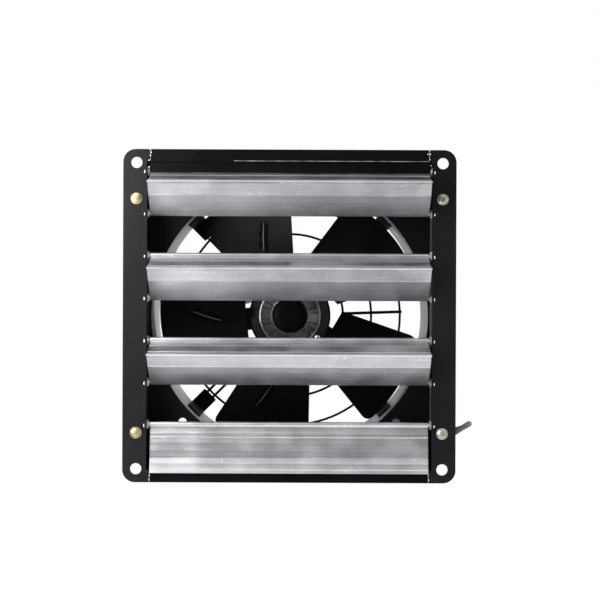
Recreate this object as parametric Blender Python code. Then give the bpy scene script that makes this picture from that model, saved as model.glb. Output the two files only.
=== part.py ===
"""Shutter exhaust fan: a wall frame with seven gravity louvres in front of a five-blade axial fan.

Metres, +Z up. The origin is the centre of the wall opening on the back plane of the flange.
-Y points to the viewer, out of the building, and the fan stands behind the shutter, towards +Y.
"""
import math

import bmesh
import bpy
from mathutils import Matrix, Vector
from mathutils.geometry import interpolate_bezier

MM = 0.001

# Driving dimensions of the shutter box
OPENING_WIDTH = 320 * MM
FLANGE_WIDTH = 25 * MM
RAIL_FLANGE_WIDTH = 12.7 * MM
FRAME_WIDTH = OPENING_WIDTH + 2 * FLANGE_WIDTH
OPENING_HEIGHT = FRAME_WIDTH - 2 * RAIL_FLANGE_WIDTH
SHEET = 1.5 * MM
BOX_DEPTH = 40 * MM
CORNER_RADIUS = 14 * MM
CORNER_PLATE_OVERLAP = 5 * MM
HOLE_INSET = 15 * MM
HOLE_PITCH = FRAME_WIDTH - 2 * HOLE_INSET
HOLE_DIAMETER = 12.5 * MM
SCREW_INSET = 40 * MM
SCREW_PITCH_HEIGHT = HOLE_PITCH - 2 * SCREW_INSET
LIP_HEIGHT = 13.1 * MM
GAP = 0.3 * MM
OVERRUN = 5 * MM

# Fixing screws of the frame
SCREW_DIAMETER = 5 * MM
SCREW_LENGTH = 14 * MM
SCREW_HEAD_DIAMETER = 10.5 * MM
SCREW_HEAD_HEIGHT = 2.6 * MM
WASHER_DIAMETER = 13 * MM
WASHER_THICKNESS = 1 * MM
NUT_WIDTH = 9 * MM
NUT_THICKNESS = 4 * MM

# Louvres
LOUVRE_COUNT = 7
TOP_PIVOT_INSET = 11.2 * MM
BOTTOM_PIVOT_INSET = 51.4 * MM
LOUVRE_PITCH = (OPENING_HEIGHT - TOP_PIVOT_INSET - BOTTOM_PIVOT_INSET) / (LOUVRE_COUNT - 1)
LOUVRE_TOP = OPENING_HEIGHT / 2 - TOP_PIVOT_INSET
LOUVRE_PIVOT_DEPTH = 5 * MM
LOUVRE_END_CLEARANCE = 5.25 * MM
LOUVRE_LENGTH = OPENING_WIDTH - 2 * LOUVRE_END_CLEARANCE
LOUVRE_OVERLAP = 7.3 * MM
LOUVRE_DROP = LOUVRE_PITCH + LOUVRE_OVERLAP
LOUVRE_SHEET = 1.1 * MM
BEAD_RADIUS = 3 * MM
BEAD_SETBACK = 2.4 * MM
RIDGE_SHARE = 0.256
RIDGE_DROP = LOUVRE_DROP * RIDGE_SHARE
RIDGE_HEIGHT = 0.45 * MM
GROOVE_SHARE = 0.67
GROOVE_DROP = LOUVRE_DROP * GROOVE_SHARE
GROOVE_DEPTH = 0.6 * MM
LIP_HEIGHT_SHARE = 0.92
LIP_DROP = LOUVRE_DROP * LIP_HEIGHT_SHARE
CREASE_REACH = 0.6 * MM
LIP_KICK = math.radians(9)
ODD_ANGLE = math.radians(73.5)
EVEN_ANGLE = math.radians(125)
LAST_ANGLE = math.radians(8.5)
PIN_RADIUS = 1.5 * MM
BUSH_FLANGE_RADIUS = 5.5 * MM
BUSH_FLANGE_THICKNESS = 2.2 * MM
BUSH_BARREL_RADIUS = 3.4 * MM
BUSH_PROUD = 0.6 * MM

# Inlet ring and orifice plate
RING_MARGIN = 3 * MM
RING_TAPER = 2.8 * MM
RING_FRONT_RADIUS = OPENING_WIDTH / 2 - RING_MARGIN
RING_REAR_RADIUS = RING_FRONT_RADIUS - RING_TAPER
RING_WALL = 1.2 * MM
RING_REAR = 115 * MM
PLATE_HOLE_MARGIN = 14.12 * MM
PLATE_HOLE_OFFSET = (RING_FRONT_RADIUS + PLATE_HOLE_MARGIN) / math.sqrt(2)
PLATE_HOLE_DIAMETER = 9.5 * MM

# Fan wheel
BLADE_COUNT = 5
TIP_CLEARANCE = 4.2 * MM
BLADE_RADIUS = RING_REAR_RADIUS - TIP_CLEARANCE
BLADE_ROOT = 50 * MM
BLADE_SHEET = 1.5 * MM
BLADE_PLANE = 80 * MM
BLADE_PITCH = math.radians(22)
BLADE_FIRST_ANGLE = math.radians(113)
BLADE_CAMBER = 5 * MM
BLADE_TIP_CORNER = 9 * MM
EDGE_A_ANGLE = math.radians(13)
EDGE_A_OFFSET = 23.6 * MM
EDGE_B_ANGLE = math.radians(20)
EDGE_B_OFFSET = 7.7 * MM
ARM_REACH = 90 * MM
ARM_HALF_WIDTH = 13 * MM
ARM_SHEET = 2 * MM
HUB_RADIUS = 47 * MM
HUB_CONE_RADIUS = 35 * MM
HUB_FACE_RADIUS = 21 * MM
HUB_FACE_PLANE = 66 * MM
HUB_SHEET = 1.6 * MM
RIVET_COUNT = 3
RIVET_FIRST = 58 * MM
RIVET_PITCH = 12 * MM
RIVET_RADIUS = 2 * MM
RIVET_HEAD_RADIUS = 3.6 * MM
RIVET_HEAD_HEIGHT = 1.2 * MM
CAP_RADIUS = 19.5 * MM
CAP_HEIGHT = 7 * MM
HUB_NUT_RADIUS = 9.2 * MM

# Motor
MOTOR_RADIUS = 47 * MM
MOTOR_FRONT = 97 * MM
STATOR_FRONT = 124 * MM
STATOR_REAR = 142 * MM
MOTOR_REAR = 162 * MM
MOTOR_WALL = 2.5 * MM
SHAFT_RADIUS = 5 * MM
ROTOR_SHARE = 0.553
ROTOR_RADIUS = MOTOR_RADIUS * ROTOR_SHARE
AIR_GAP = 0.6 * MM
BEARING_RADIUS = 13 * MM
BEARING_WIDTH = 8 * MM
MOTOR_BOLT_RADIUS = 2 * MM
MOTOR_BOLT_HEAD_RADIUS = 3.4 * MM
MOTOR_BOLT_HEAD_HEIGHT = 2.5 * MM
MOTOR_NUT_FLANGE = 6 * MM
STATOR_YOKE = 8.5 * MM
WINDING_RADIUS = MOTOR_RADIUS - STATOR_YOKE
WINDING_STEP = 1.5 * MM
WINDING_BARS = 8
WINDING_BAR_WIDTH = 5 * MM

# Rear guard
GUARD_PLANE = 118 * MM
GUARD_WIRE = 2.4 * MM
GUARD_STEPS = 36
GUARD_RING_SHARES = (0.406, 0.6226, 0.843)
GUARD_RADII = [RING_REAR_RADIUS * share for share in GUARD_RING_SHARES]
ROD_DIAMETER = 3.5 * MM
ROD_OVERHANG = 2 * MM
ROD_TURN = math.radians(2)
ROD_INNER = GUARD_RADII[0] - ROD_OVERHANG
ROD_OUTER = GUARD_RADII[-1] + ROD_OVERHANG
HAIRPIN_DIAMETER = 3 * MM
HAIRPIN_SPREAD = 4.5 * MM
HAIRPIN_OUTER = RING_REAR_RADIUS - TIP_CLEARANCE
EAR_REACH = 8 * MM
EAR_RADIUS = MOTOR_RADIUS + EAR_REACH
EAR_THICKNESS = 3 * MM
WELD_SINK = 0.5 * MM
BRACKET_WIDTH = 19 * MM
BRACKET_FRONT = 62 * MM
BRACKET_LEG = 17 * MM
BRACKET_INNER = HAIRPIN_OUTER - BRACKET_LEG
CLAMP_WIDTH = 15 * MM
CLAMP_RIVET_SHARES = (0.22, 0.55, 0.86)
CLAMP_RIVET_RADIUS = 1.3 * MM
CLAMP_RIVET_HEAD = 2.3 * MM

# Terminal box, gland, clip and capacitor
CORD_ANGLE = math.radians(-45)
BOX_FRONT = MOTOR_REAR + GAP
TERMINAL_DEPTH = 22 * MM
BOX_BACK = BOX_FRONT + TERMINAL_DEPTH
BOX_WIDTH = 32 * MM
BOX_WALL = 2 * MM
GLAND_RADIUS = 7 * MM
GLAND_LENGTH = 22 * MM
GLAND_NUT_LENGTH = 6 * MM
CLIP_SIZE = 9.6 * MM
CLIP_PLANE = 129.6 * MM
CLIP_INSET = 16.2 * MM
CLIP_START = RING_REAR_RADIUS - CLIP_INSET
CLIP_LENGTH = 8 * MM
CAPACITOR_ANGLE = math.radians(155)
CAPACITOR_RADIUS = 12 * MM
CAPACITOR_FRONT = 126 * MM
CAPACITOR_LENGTH = 36 * MM

# Supply cord
CORD_DIAMETER = 6 * MM
CORD_ROUTE = (
    (42.4, 168.5, -42.4),
    (55.2, 156.5, -55.2),
    (67.9, 142.5, -67.9),
    (80.6, 132.8, -80.6),
    (94, 129.7, -94),
    (106, 129.2, -105.8),
    (118.2, 125, -113.8),
    (132, 115.5, -119.7),
    (145, 101, -126),
    (155.5, 83.5, -133),
    (162, 66, -139),
    (166.8, 49.5, -141.5),
    (174.2, 36, -138.8),
    (184.8, 29.4, -132.6),
    (196.6, 33, -125.4),
    (204.6, 45.5, -122.2),
    (205.4, 59.5, -124.4),
    (200.4, 72, -128.6),
    (192.2, 84, -132.2),
    (183, 95, -133),
    (174, 106, -130.8),
    (166.6, 117.5, -130),
    (162.1, 126.5, -135.3),
    (160.7, 130.7, -143.3),
)
COIL_RADIUS = 30 * MM
COIL_PITCH = 6.6 * MM
COIL_LAYERS = 4
COIL_TURNS_PER_LAYER = 2
COIL_OPEN_SHARE = 0.75
COIL_CLIMB_TURNS = 0.5
COIL_CENTRE_X = 124 * MM
COIL_CENTRE_Z = -157 * MM
COIL_FRONT = 128 * MM
COIL_POINTS_PER_TURN = 24
COIL_TAIL = 29 * MM
TIE_THICKNESS = 1.2 * MM
TIE_WIDTH = 4 * MM
TIE_ANGLE = math.radians(135)
PLUG_WIDTH = 24 * MM
PLUG_HEIGHT = 13 * MM
PLUG_LENGTH = 28 * MM
PLUG_RELIEF_LENGTH = 12 * MM
PLUG_PIN_RADIUS = 2 * MM
PLUG_PIN_LENGTH = 19 * MM
PLUG_PIN_PITCH = 18 * MM

RING_SIDES = 64
ROUND_SIDES = 40
SMALL_SIDES = 16
BUSH_SIDES = 10

PLATE_FRONT = BOX_DEPTH - SHEET
WALL_END = PLATE_FRONT - GAP
INNER_HALF = OPENING_WIDTH / 2 - SHEET
SIDE_HALF_HEIGHT = OPENING_HEIGHT / 2


def material(name, colour, roughness, metallic):
    """A plain Principled finish, made once for each name."""
    found = bpy.data.materials.get(name)
    if found:
        return found
    made = bpy.data.materials.new(name)
    made.use_nodes = True
    made.diffuse_color = (*colour, 1)
    shader = made.node_tree.nodes["Principled BSDF"]
    shader.inputs["Base Color"].default_value = (*colour, 1)
    shader.inputs["Roughness"].default_value = roughness
    shader.inputs["Metallic"].default_value = metallic
    return made


FINISHES = {
    "black_coat": ((0.022, 0.023, 0.025), 0.42, 0.0),
    "aluminium": ((0.62, 0.63, 0.64), 0.38, 1.0),
    "zinc_sheet": ((0.42, 0.43, 0.44), 0.45, 1.0),
    "yellow_zinc": ((0.72, 0.60, 0.30), 0.35, 1.0),
    "steel": ((0.55, 0.55, 0.55), 0.35, 1.0),
    "black_blade": ((0.016, 0.017, 0.018), 0.38, 0.0),
    "hub_grey": ((0.17, 0.17, 0.175), 0.4, 0.6),
    "white_nylon": ((0.80, 0.80, 0.78), 0.5, 0.0),
    "laminations": ((0.20, 0.20, 0.21), 0.5, 0.8),
    "copper": ((0.55, 0.22, 0.09), 0.4, 0.8),
    "black_plastic": ((0.020, 0.020, 0.021), 0.5, 0.0),
    "black_rubber": ((0.030, 0.030, 0.032), 0.6, 0.0),
    "brass": ((0.66, 0.50, 0.22), 0.3, 1.0),
    "pale_plastic": ((0.70, 0.69, 0.65), 0.5, 0.0),
}


def finish(obj, name):
    obj.data.materials.clear()
    obj.data.materials.append(material(name, *FINISHES[name]))
    return obj


def new_object(name, bm, finish_name=None, smooth=True):
    """Turns a bmesh into an object whose faces point outwards."""
    bmesh.ops.recalc_face_normals(bm, faces=bm.faces[:])
    mesh = bpy.data.meshes.new(name)
    bm.to_mesh(mesh)
    bm.free()
    if smooth:
        mesh.shade_smooth()
        mesh.set_sharp_from_angle(angle=math.radians(35))
    obj = bpy.data.objects.new(name, mesh)
    bpy.context.collection.objects.link(obj)
    if finish_name:
        finish(obj, finish_name)
    else:
        obj.hide_render = True
        obj.display_type = "WIRE"
    return obj


def at_axis(axis, a, b, along):
    """A point whose coordinate along one axis is given, with the other two in order."""
    return {"X": (along, a, b), "Y": (a, along, b), "Z": (a, b, along)}[axis]


def add_prism(bm, outline, axis, start, end, matrix=None):
    """Adds a closed prism over an outline that lies square to the axis."""
    corners = [bm.verts.new(at_axis(axis, a, b, start)) for a, b in outline]
    cap = bm.faces.new(corners)
    grown = bmesh.ops.extrude_face_region(bm, geom=[cap])["geom"]
    raised = [item for item in grown if isinstance(item, bmesh.types.BMVert)]
    bmesh.ops.translate(bm, vec=at_axis(axis, 0, 0, end - start), verts=raised)
    if matrix:
        bmesh.ops.transform(bm, matrix=matrix, verts=corners + raised)


def circle(radius, sides=SMALL_SIDES, centre=(0, 0)):
    """Points round a circle."""
    steps = [2 * math.pi * step / sides for step in range(sides)]
    return [(centre[0] + radius * math.cos(a), centre[1] + radius * math.sin(a)) for a in steps]


def rectangle(a0, a1, b0, b1):
    return [(a0, b0), (a1, b0), (a1, b1), (a0, b1)]


def turned(name, profile, finish_name, sides=ROUND_SIDES, matrices=(Matrix(),)):
    """Spins a closed profile of (radius, y) points round Y and places one solid for each matrix."""
    bm = bmesh.new()
    ring = [bm.verts.new((radius, y, 0)) for radius, y in profile]
    edges = [bm.edges.new((ring[i - 1], ring[i])) for i in range(len(ring))]
    bmesh.ops.spin(bm, geom=ring + edges, cent=(0, 0, 0), axis=(0, 1, 0),
                   angle=2 * math.pi, steps=sides, use_merge=True)
    bmesh.ops.remove_doubles(bm, verts=bm.verts[:], dist=GAP / 100)
    single = bpy.data.meshes.new(name + "_single")
    bm.to_mesh(single)
    bm.clear()
    for matrix in matrices:
        placed = single.copy()
        placed.transform(matrix)
        bm.from_mesh(placed)
        bpy.data.meshes.remove(placed)
    bpy.data.meshes.remove(single)
    return new_object(name, bm, finish_name)


def prism(name, outline, axis, start, end, finish_name=None):
    bm = bmesh.new()
    add_prism(bm, outline, axis, start, end)
    return new_object(name, bm, finish_name)


def boolean(obj, other, operation):
    """Cuts or joins another object's shape; the other one stays as a hidden guide."""
    other.hide_render = True
    other.display_type = "WIRE"
    step = obj.modifiers.new(operation.lower(), "BOOLEAN")
    step.operation = operation
    step.solver = "EXACT"
    step.object = other
    return obj


def drill(obj, name, axis, centres, radius, start, end, sides=SMALL_SIDES):
    """Cuts round holes along one axis through the given centres."""
    bm = bmesh.new()
    for centre in centres:
        add_prism(bm, circle(radius, sides, centre), axis, start, end)
    return boolean(obj, new_object(name, bm), "DIFFERENCE")


def wires(name, paths, diameter, finish_name, closed=False, resolution=1):
    """Round wires along lists of points, as one curve object with filled caps."""
    curve = bpy.data.curves.new(name, "CURVE")
    curve.dimensions = "3D"
    curve.bevel_depth = diameter / 2
    curve.bevel_resolution = resolution
    curve.use_fill_caps = True
    for path in paths:
        spline = curve.splines.new("POLY")
        spline.points.add(len(path) - 1)
        for point, place in zip(spline.points, path):
            point.co = (*place, 1)
        spline.use_cyclic_u = closed
    obj = bpy.data.objects.new(name, curve)
    bpy.context.collection.objects.link(obj)
    return finish(obj, finish_name)


def around_y(angle):
    """Turns the +X direction to the given angle, counter-clockwise as the viewer sees it."""
    return Matrix.Rotation(-angle, 4, "Y")


def arc(radius, start, end, steps, centre=(0, 0)):
    """Points along an arc, both ends included."""
    angles = [start + (end - start) * step / steps for step in range(steps + 1)]
    return [(centre[0] + radius * math.cos(a), centre[1] + radius * math.sin(a)) for a in angles]


def louvre_pivots():
    return [LOUVRE_TOP - LOUVRE_PITCH * number for number in range(LOUVRE_COUNT)]


def side_outline():
    """Right-hand flange seen from the front: round outer corners, wide ends over the rails."""
    outer = FRAME_WIDTH / 2
    centre = outer - CORNER_RADIUS
    wide = OPENING_WIDTH / 2 - CORNER_PLATE_OVERLAP
    top = arc(CORNER_RADIUS, 0, math.pi / 2, 6, (centre, centre))
    inner = [(wide, outer), (wide, SIDE_HALF_HEIGHT), (INNER_HALF, SIDE_HALF_HEIGHT)]
    upper = top + inner
    return upper + [(x, -z) for x, z in reversed(upper)]


def make_side(name, side):
    """One side channel: flange and wall bent from one sheet, drilled for screws and bushes."""
    outline = [(side * x, z) for x, z in side_outline()]
    channel = prism(name, outline, "Y", -SHEET, 0, "black_coat")
    edges = (side * INNER_HALF, side * OPENING_WIDTH / 2)
    wall_outline = rectangle(*edges, -SIDE_HALF_HEIGHT, SIDE_HALF_HEIGHT)
    wall = prism(name + "_wall_guide", wall_outline, "Y", -SHEET, WALL_END)
    boolean(channel, wall, "UNION")
    nut = NUT_WIDTH / 2
    nut_profile = [(0, -SHEET / 2), (nut, -SHEET / 2), (nut, NUT_THICKNESS), (0, NUT_THICKNESS)]
    boolean(channel, turned(name + "_nut_guide", nut_profile, None, 12, screw_places(side)), "UNION")
    half = HOLE_PITCH / 2
    corners = [(side * half, z) for z in (-half, half)]
    screws = [(side * half, z) for z in (-SCREW_PITCH_HEIGHT / 2, SCREW_PITCH_HEIGHT / 2)]
    through = (-SHEET - OVERRUN, OVERRUN)
    drill(channel, name + "_corner_holes", "Y", corners, HOLE_DIAMETER / 2, *through)
    drill(channel, name + "_screw_holes", "Y", screws, SCREW_DIAMETER / 2 + GAP, *through)
    pivots = [(LOUVRE_PIVOT_DEPTH, z) for z in louvre_pivots()]
    inside, outside = side * (INNER_HALF - OVERRUN), side * (OPENING_WIDTH / 2 + OVERRUN)
    drill(channel, name + "_bush_holes", "X", pivots, BUSH_BARREL_RADIUS + GAP, inside, outside)
    return channel


def make_rail(name, side):
    """Top or bottom rail: flange, wall and, on the top one, the lip that covers the first pivot."""
    half_width = INNER_HALF - GAP
    inner = side * (SIDE_HALF_HEIGHT - SHEET)
    bend = side * SIDE_HALF_HEIGHT
    rail = prism(name, rectangle(-half_width, half_width, inner, bend), "Y", -SHEET, WALL_END, "black_coat")
    flange_half = OPENING_WIDTH / 2 - CORNER_PLATE_OVERLAP - GAP
    flange_outline = rectangle(-flange_half, flange_half, inner, side * FRAME_WIDTH / 2)
    flange = prism(name + "_flange_guide", flange_outline, "Y", -SHEET, 0)
    boolean(rail, flange, "UNION")
    if side > 0:
        lip_half = half_width - BUSH_FLANGE_THICKNESS - GAP
        lip_outline = rectangle(-lip_half, lip_half, bend - LIP_HEIGHT, bend - SHEET / 2)
        lip = prism(name + "_lip_guide", lip_outline, "Y", 0, SHEET)
        boolean(rail, lip, "UNION")
    return rail


def make_frame():
    make_side("frame_left", -1)
    make_side("frame_right", 1)
    make_rail("frame_top", 1)
    make_rail("frame_bottom", -1)
    outline = rectangle(-OPENING_WIDTH / 2, OPENING_WIDTH / 2, -SIDE_HALF_HEIGHT, SIDE_HALF_HEIGHT)
    plate = prism("orifice_plate", outline, "Y", PLATE_FRONT, BOX_DEPTH, "black_coat")
    through = (PLATE_FRONT - OVERRUN, BOX_DEPTH + OVERRUN)
    drill(plate, "orifice_hole", "Y", [(0, 0)], RING_FRONT_RADIUS, *through, RING_SIDES)
    offset = PLATE_HOLE_OFFSET
    corners = [(x, z) for x in (-offset, offset) for z in (-offset, offset)]
    drill(plate, "plate_corner_holes", "Y", corners, PLATE_HOLE_DIAMETER / 2, *through)
    ring_front = BOX_DEPTH + GAP
    ring = [(RING_FRONT_RADIUS + RING_WALL, ring_front), (RING_REAR_RADIUS + RING_WALL, RING_REAR),
            (RING_REAR_RADIUS, RING_REAR), (RING_FRONT_RADIUS, ring_front)]
    turned("venturi_ring", ring, "zinc_sheet", RING_SIDES)


def screw_places(side):
    height = SCREW_PITCH_HEIGHT / 2
    return [Matrix.Translation((side * HOLE_PITCH / 2, 0, z)) for z in (height, -height)]


def make_frame_screws():
    """Four fixing screws with a captive washer, run into the clinch nuts behind the flange."""
    shank = SCREW_DIAMETER / 2
    washer_back = -SHEET - GAP
    washer_front = washer_back - WASHER_THICKNESS
    head_front = washer_front - SCREW_HEAD_HEIGHT
    head = SCREW_HEAD_DIAMETER / 2
    rim = WASHER_DIAMETER / 2
    tip = washer_back + SCREW_LENGTH
    dome_shares = ((0.45, 1.0), (0.8, 0.72), (1.0, 0.2))
    dome = [(head * reach, washer_front - SCREW_HEAD_HEIGHT * rise) for reach, rise in dome_shares]
    profile = [(0, head_front)] + dome + [(head, washer_front), (rim, washer_front), (rim, washer_back),
                                          (shank, washer_back), (shank, tip), (0, tip)]
    for side, word in ((-1, "left"), (1, "right")):
        for matrix, level in zip(screw_places(side), ("upper", "lower")):
            coat = "yellow_zinc" if side < 0 else "steel"
            turned(f"frame_screw_{level}_{word}", profile, coat, SMALL_SIDES, [matrix])


def louvre_section():
    """Blade section as (front offset, drop) points: bead, ridge, groove and kicked lip."""
    half = LOUVRE_SHEET / 2
    kicked = GROOVE_DROP + CREASE_REACH
    slope = math.tan(LIP_KICK)
    ridge = [(RIDGE_DROP - CREASE_REACH, 0), (RIDGE_DROP, RIDGE_HEIGHT), (RIDGE_DROP + CREASE_REACH, 0)]
    groove = [(GROOVE_DROP - CREASE_REACH, 0), (GROOVE_DROP, -GROOVE_DEPTH), (kicked, 0)]
    lip_rise = (LIP_DROP - kicked) * slope
    lip = [(LIP_DROP - CREASE_REACH, lip_rise), (LIP_DROP, lip_rise + RIDGE_HEIGHT),
           (LIP_DROP + CREASE_REACH, lip_rise), (LOUVRE_DROP, (LOUVRE_DROP - kicked) * slope)]
    middle = [(drop, rise - BEAD_SETBACK) for drop, rise in ridge + groove + lip]
    front = [(rise + half, drop) for drop, rise in middle]
    back = [(rise - half, drop) for drop, rise in reversed(middle)]
    tangent = math.radians(-80)
    junction = -2 * math.pi - math.asin((BEAD_SETBACK - half) / BEAD_RADIUS)
    bead = [(n, drop) for drop, n in arc(BEAD_RADIUS, tangent, junction, 14)]
    return front + back + bead


def make_louvres():
    """Seven blades on their rods, in the posture that the fan's air stream gives them."""
    half = LOUVRE_LENGTH / 2
    section = [(-front, -drop) for front, drop in louvre_section()]
    rod_half = OPENING_WIDTH / 2 + BUSH_PROUD
    for number, height in enumerate(louvre_pivots()):
        angle = ODD_ANGLE if number % 2 == 0 else EVEN_ANGLE
        if number == LOUVRE_COUNT - 1:
            angle = LAST_ANGLE
        name = f"louvre_{number + 1}"
        blade = prism(name, section, "X", -half, half, "aluminium")
        bore = prism(name + "_bore_guide", circle(PIN_RADIUS + GAP, 12), "X", -half - OVERRUN, half + OVERRUN)
        boolean(blade, bore, "DIFFERENCE")
        rod = prism(f"louvre_rod_{number + 1}", circle(PIN_RADIUS, 12), "X", -rod_half, rod_half, "steel")
        hinge = bpy.data.objects.new(name + "_hinge", None)
        bpy.context.collection.objects.link(hinge)
        hinge.location = (0, LOUVRE_PIVOT_DEPTH, height)
        hinge.rotation_euler = (-angle, 0, 0)
        for piece in (blade, rod, bore):
            piece.parent = hinge


def make_bushes():
    """A moulded strip inside each side wall, with a flanged bush for every blade."""
    hole = PIN_RADIUS + GAP
    flange_back = INNER_HALF - GAP
    flange_front = flange_back - BUSH_FLANGE_THICKNESS
    barrel_end = OPENING_WIDTH / 2 + BUSH_PROUD
    profile = [(hole, flange_front), (BUSH_FLANGE_RADIUS, flange_front), (BUSH_FLANGE_RADIUS, flange_back),
               (BUSH_BARREL_RADIUS, flange_back), (BUSH_BARREL_RADIUS, barrel_end), (hole, barrel_end)]
    pivots = louvre_pivots()
    strip_front = LOUVRE_PIVOT_DEPTH + hole + GAP
    strip_back = LOUVRE_PIVOT_DEPTH + BUSH_FLANGE_RADIUS - GAP
    for name, side in (("bush_strip_left", -1), ("bush_strip_right", 1)):
        places = [Matrix.Translation((0, LOUVRE_PIVOT_DEPTH, z)) @ Matrix.Rotation(-side * math.pi / 2, 4, "Z")
                  for z in pivots]
        bushes = turned(name + "_bush_guide", profile, None, BUSH_SIDES, places)
        middle = side * (flange_front + flange_back) / 2
        outline = rectangle(middle, side * flange_back - side * GAP / 2, pivots[-1], pivots[0])
        strip = prism(name, outline, "Y", strip_front, strip_back, "white_nylon")
        boolean(strip, bushes, "UNION")


def blade_edge_a(reach):
    """Tangential place of the leading edge at a distance along the blade's middle line."""
    return (EDGE_A_OFFSET + reach * math.sin(EDGE_A_ANGLE)) / math.cos(EDGE_A_ANGLE)


def blade_edge_b(reach):
    """Tangential place of the trailing edge at a distance along the blade's middle line."""
    return -(EDGE_B_OFFSET + reach * math.sin(EDGE_B_ANGLE)) / math.cos(EDGE_B_ANGLE)


def tip_angle(edge):
    """Angle from the blade's middle line at which an edge meets the tip circle."""
    reach = BLADE_RADIUS
    for _ in range(20):
        reach = math.sqrt(BLADE_RADIUS ** 2 - edge(reach) ** 2)
    return math.atan2(edge(reach), reach)


def blade_depth(tangential):
    """Middle surface of a blade: pitched, with a slight hollow."""
    half_chord = BLADE_RADIUS * math.sin(tip_angle(blade_edge_a))
    hollow = BLADE_CAMBER * (tangential / half_chord) ** 2
    return BLADE_PLANE + math.tan(BLADE_PITCH) * tangential - hollow


def add_sheet(bm, grid, offset, thickness, matrix):
    """Adds a closed sheet over a grid of (reach, tangential) places that follows the blade surface."""
    sides = []
    for shift in (offset - thickness / 2, offset + thickness / 2):
        sides.append([[bm.verts.new(matrix @ Vector((x, blade_depth(z) + shift, z))) for x, z in row]
                      for row in grid])
    rows, columns = len(grid), len(grid[0])
    for layer in sides:
        for i in range(rows - 1):
            for j in range(columns - 1):
                bm.faces.new((layer[i][j], layer[i][j + 1], layer[i + 1][j + 1], layer[i + 1][j]))
    rim = [(0, j) for j in range(columns)] + [(i, columns - 1) for i in range(1, rows)]
    rim += [(rows - 1, j) for j in range(columns - 2, -1, -1)] + [(i, 0) for i in range(rows - 2, 0, -1)]
    for (i, j), (k, m) in zip(rim, rim[1:] + rim[:1]):
        bm.faces.new((sides[0][i][j], sides[0][k][m], sides[1][k][m], sides[1][i][j]))


def blade_grid():
    """Places on one blade, root to tip, with the tip's corners rounded."""
    column_shares = (0, 0.012, 0.04, 0.085, 0.2, 0.35, 0.5, 0.65, 0.8, 0.915, 0.96, 0.988, 1)
    row_shares = (0, 0.25, 0.5, 0.75, 1)
    angle_a, angle_b = tip_angle(blade_edge_a), tip_angle(blade_edge_b)
    chord = BLADE_RADIUS * (angle_a - angle_b)
    root_a, root_b = blade_edge_a(BLADE_ROOT), blade_edge_b(BLADE_ROOT)
    grid = []
    for row in row_shares:
        line = []
        for share in column_shares:
            angle = angle_b + (angle_a - angle_b) * share
            near = min(min(share, 1 - share) * chord, BLADE_TIP_CORNER)
            drop = BLADE_TIP_CORNER - math.sqrt(BLADE_TIP_CORNER ** 2 - (BLADE_TIP_CORNER - near) ** 2)
            tip = Vector(((BLADE_RADIUS - drop) * math.cos(angle), (BLADE_RADIUS - drop) * math.sin(angle)))
            root = Vector((BLADE_ROOT, root_b + (root_a - root_b) * share))
            line.append(tuple(root.lerp(tip, row)))
        grid.append(line)
    return grid


def blade_angles():
    return [BLADE_FIRST_ANGLE + 2 * math.pi * number / BLADE_COUNT for number in range(BLADE_COUNT)]


def rivet_places(angle):
    """One frame for each rivet of a blade, its Y axis square to the surface on the middle line."""
    seats = [Matrix.Translation((RIVET_FIRST + RIVET_PITCH * number, BLADE_PLANE, 0))
             for number in range(RIVET_COUNT)]
    return [around_y(angle) @ seat @ Matrix.Rotation(-BLADE_PITCH, 4, "X") for seat in seats]


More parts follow.
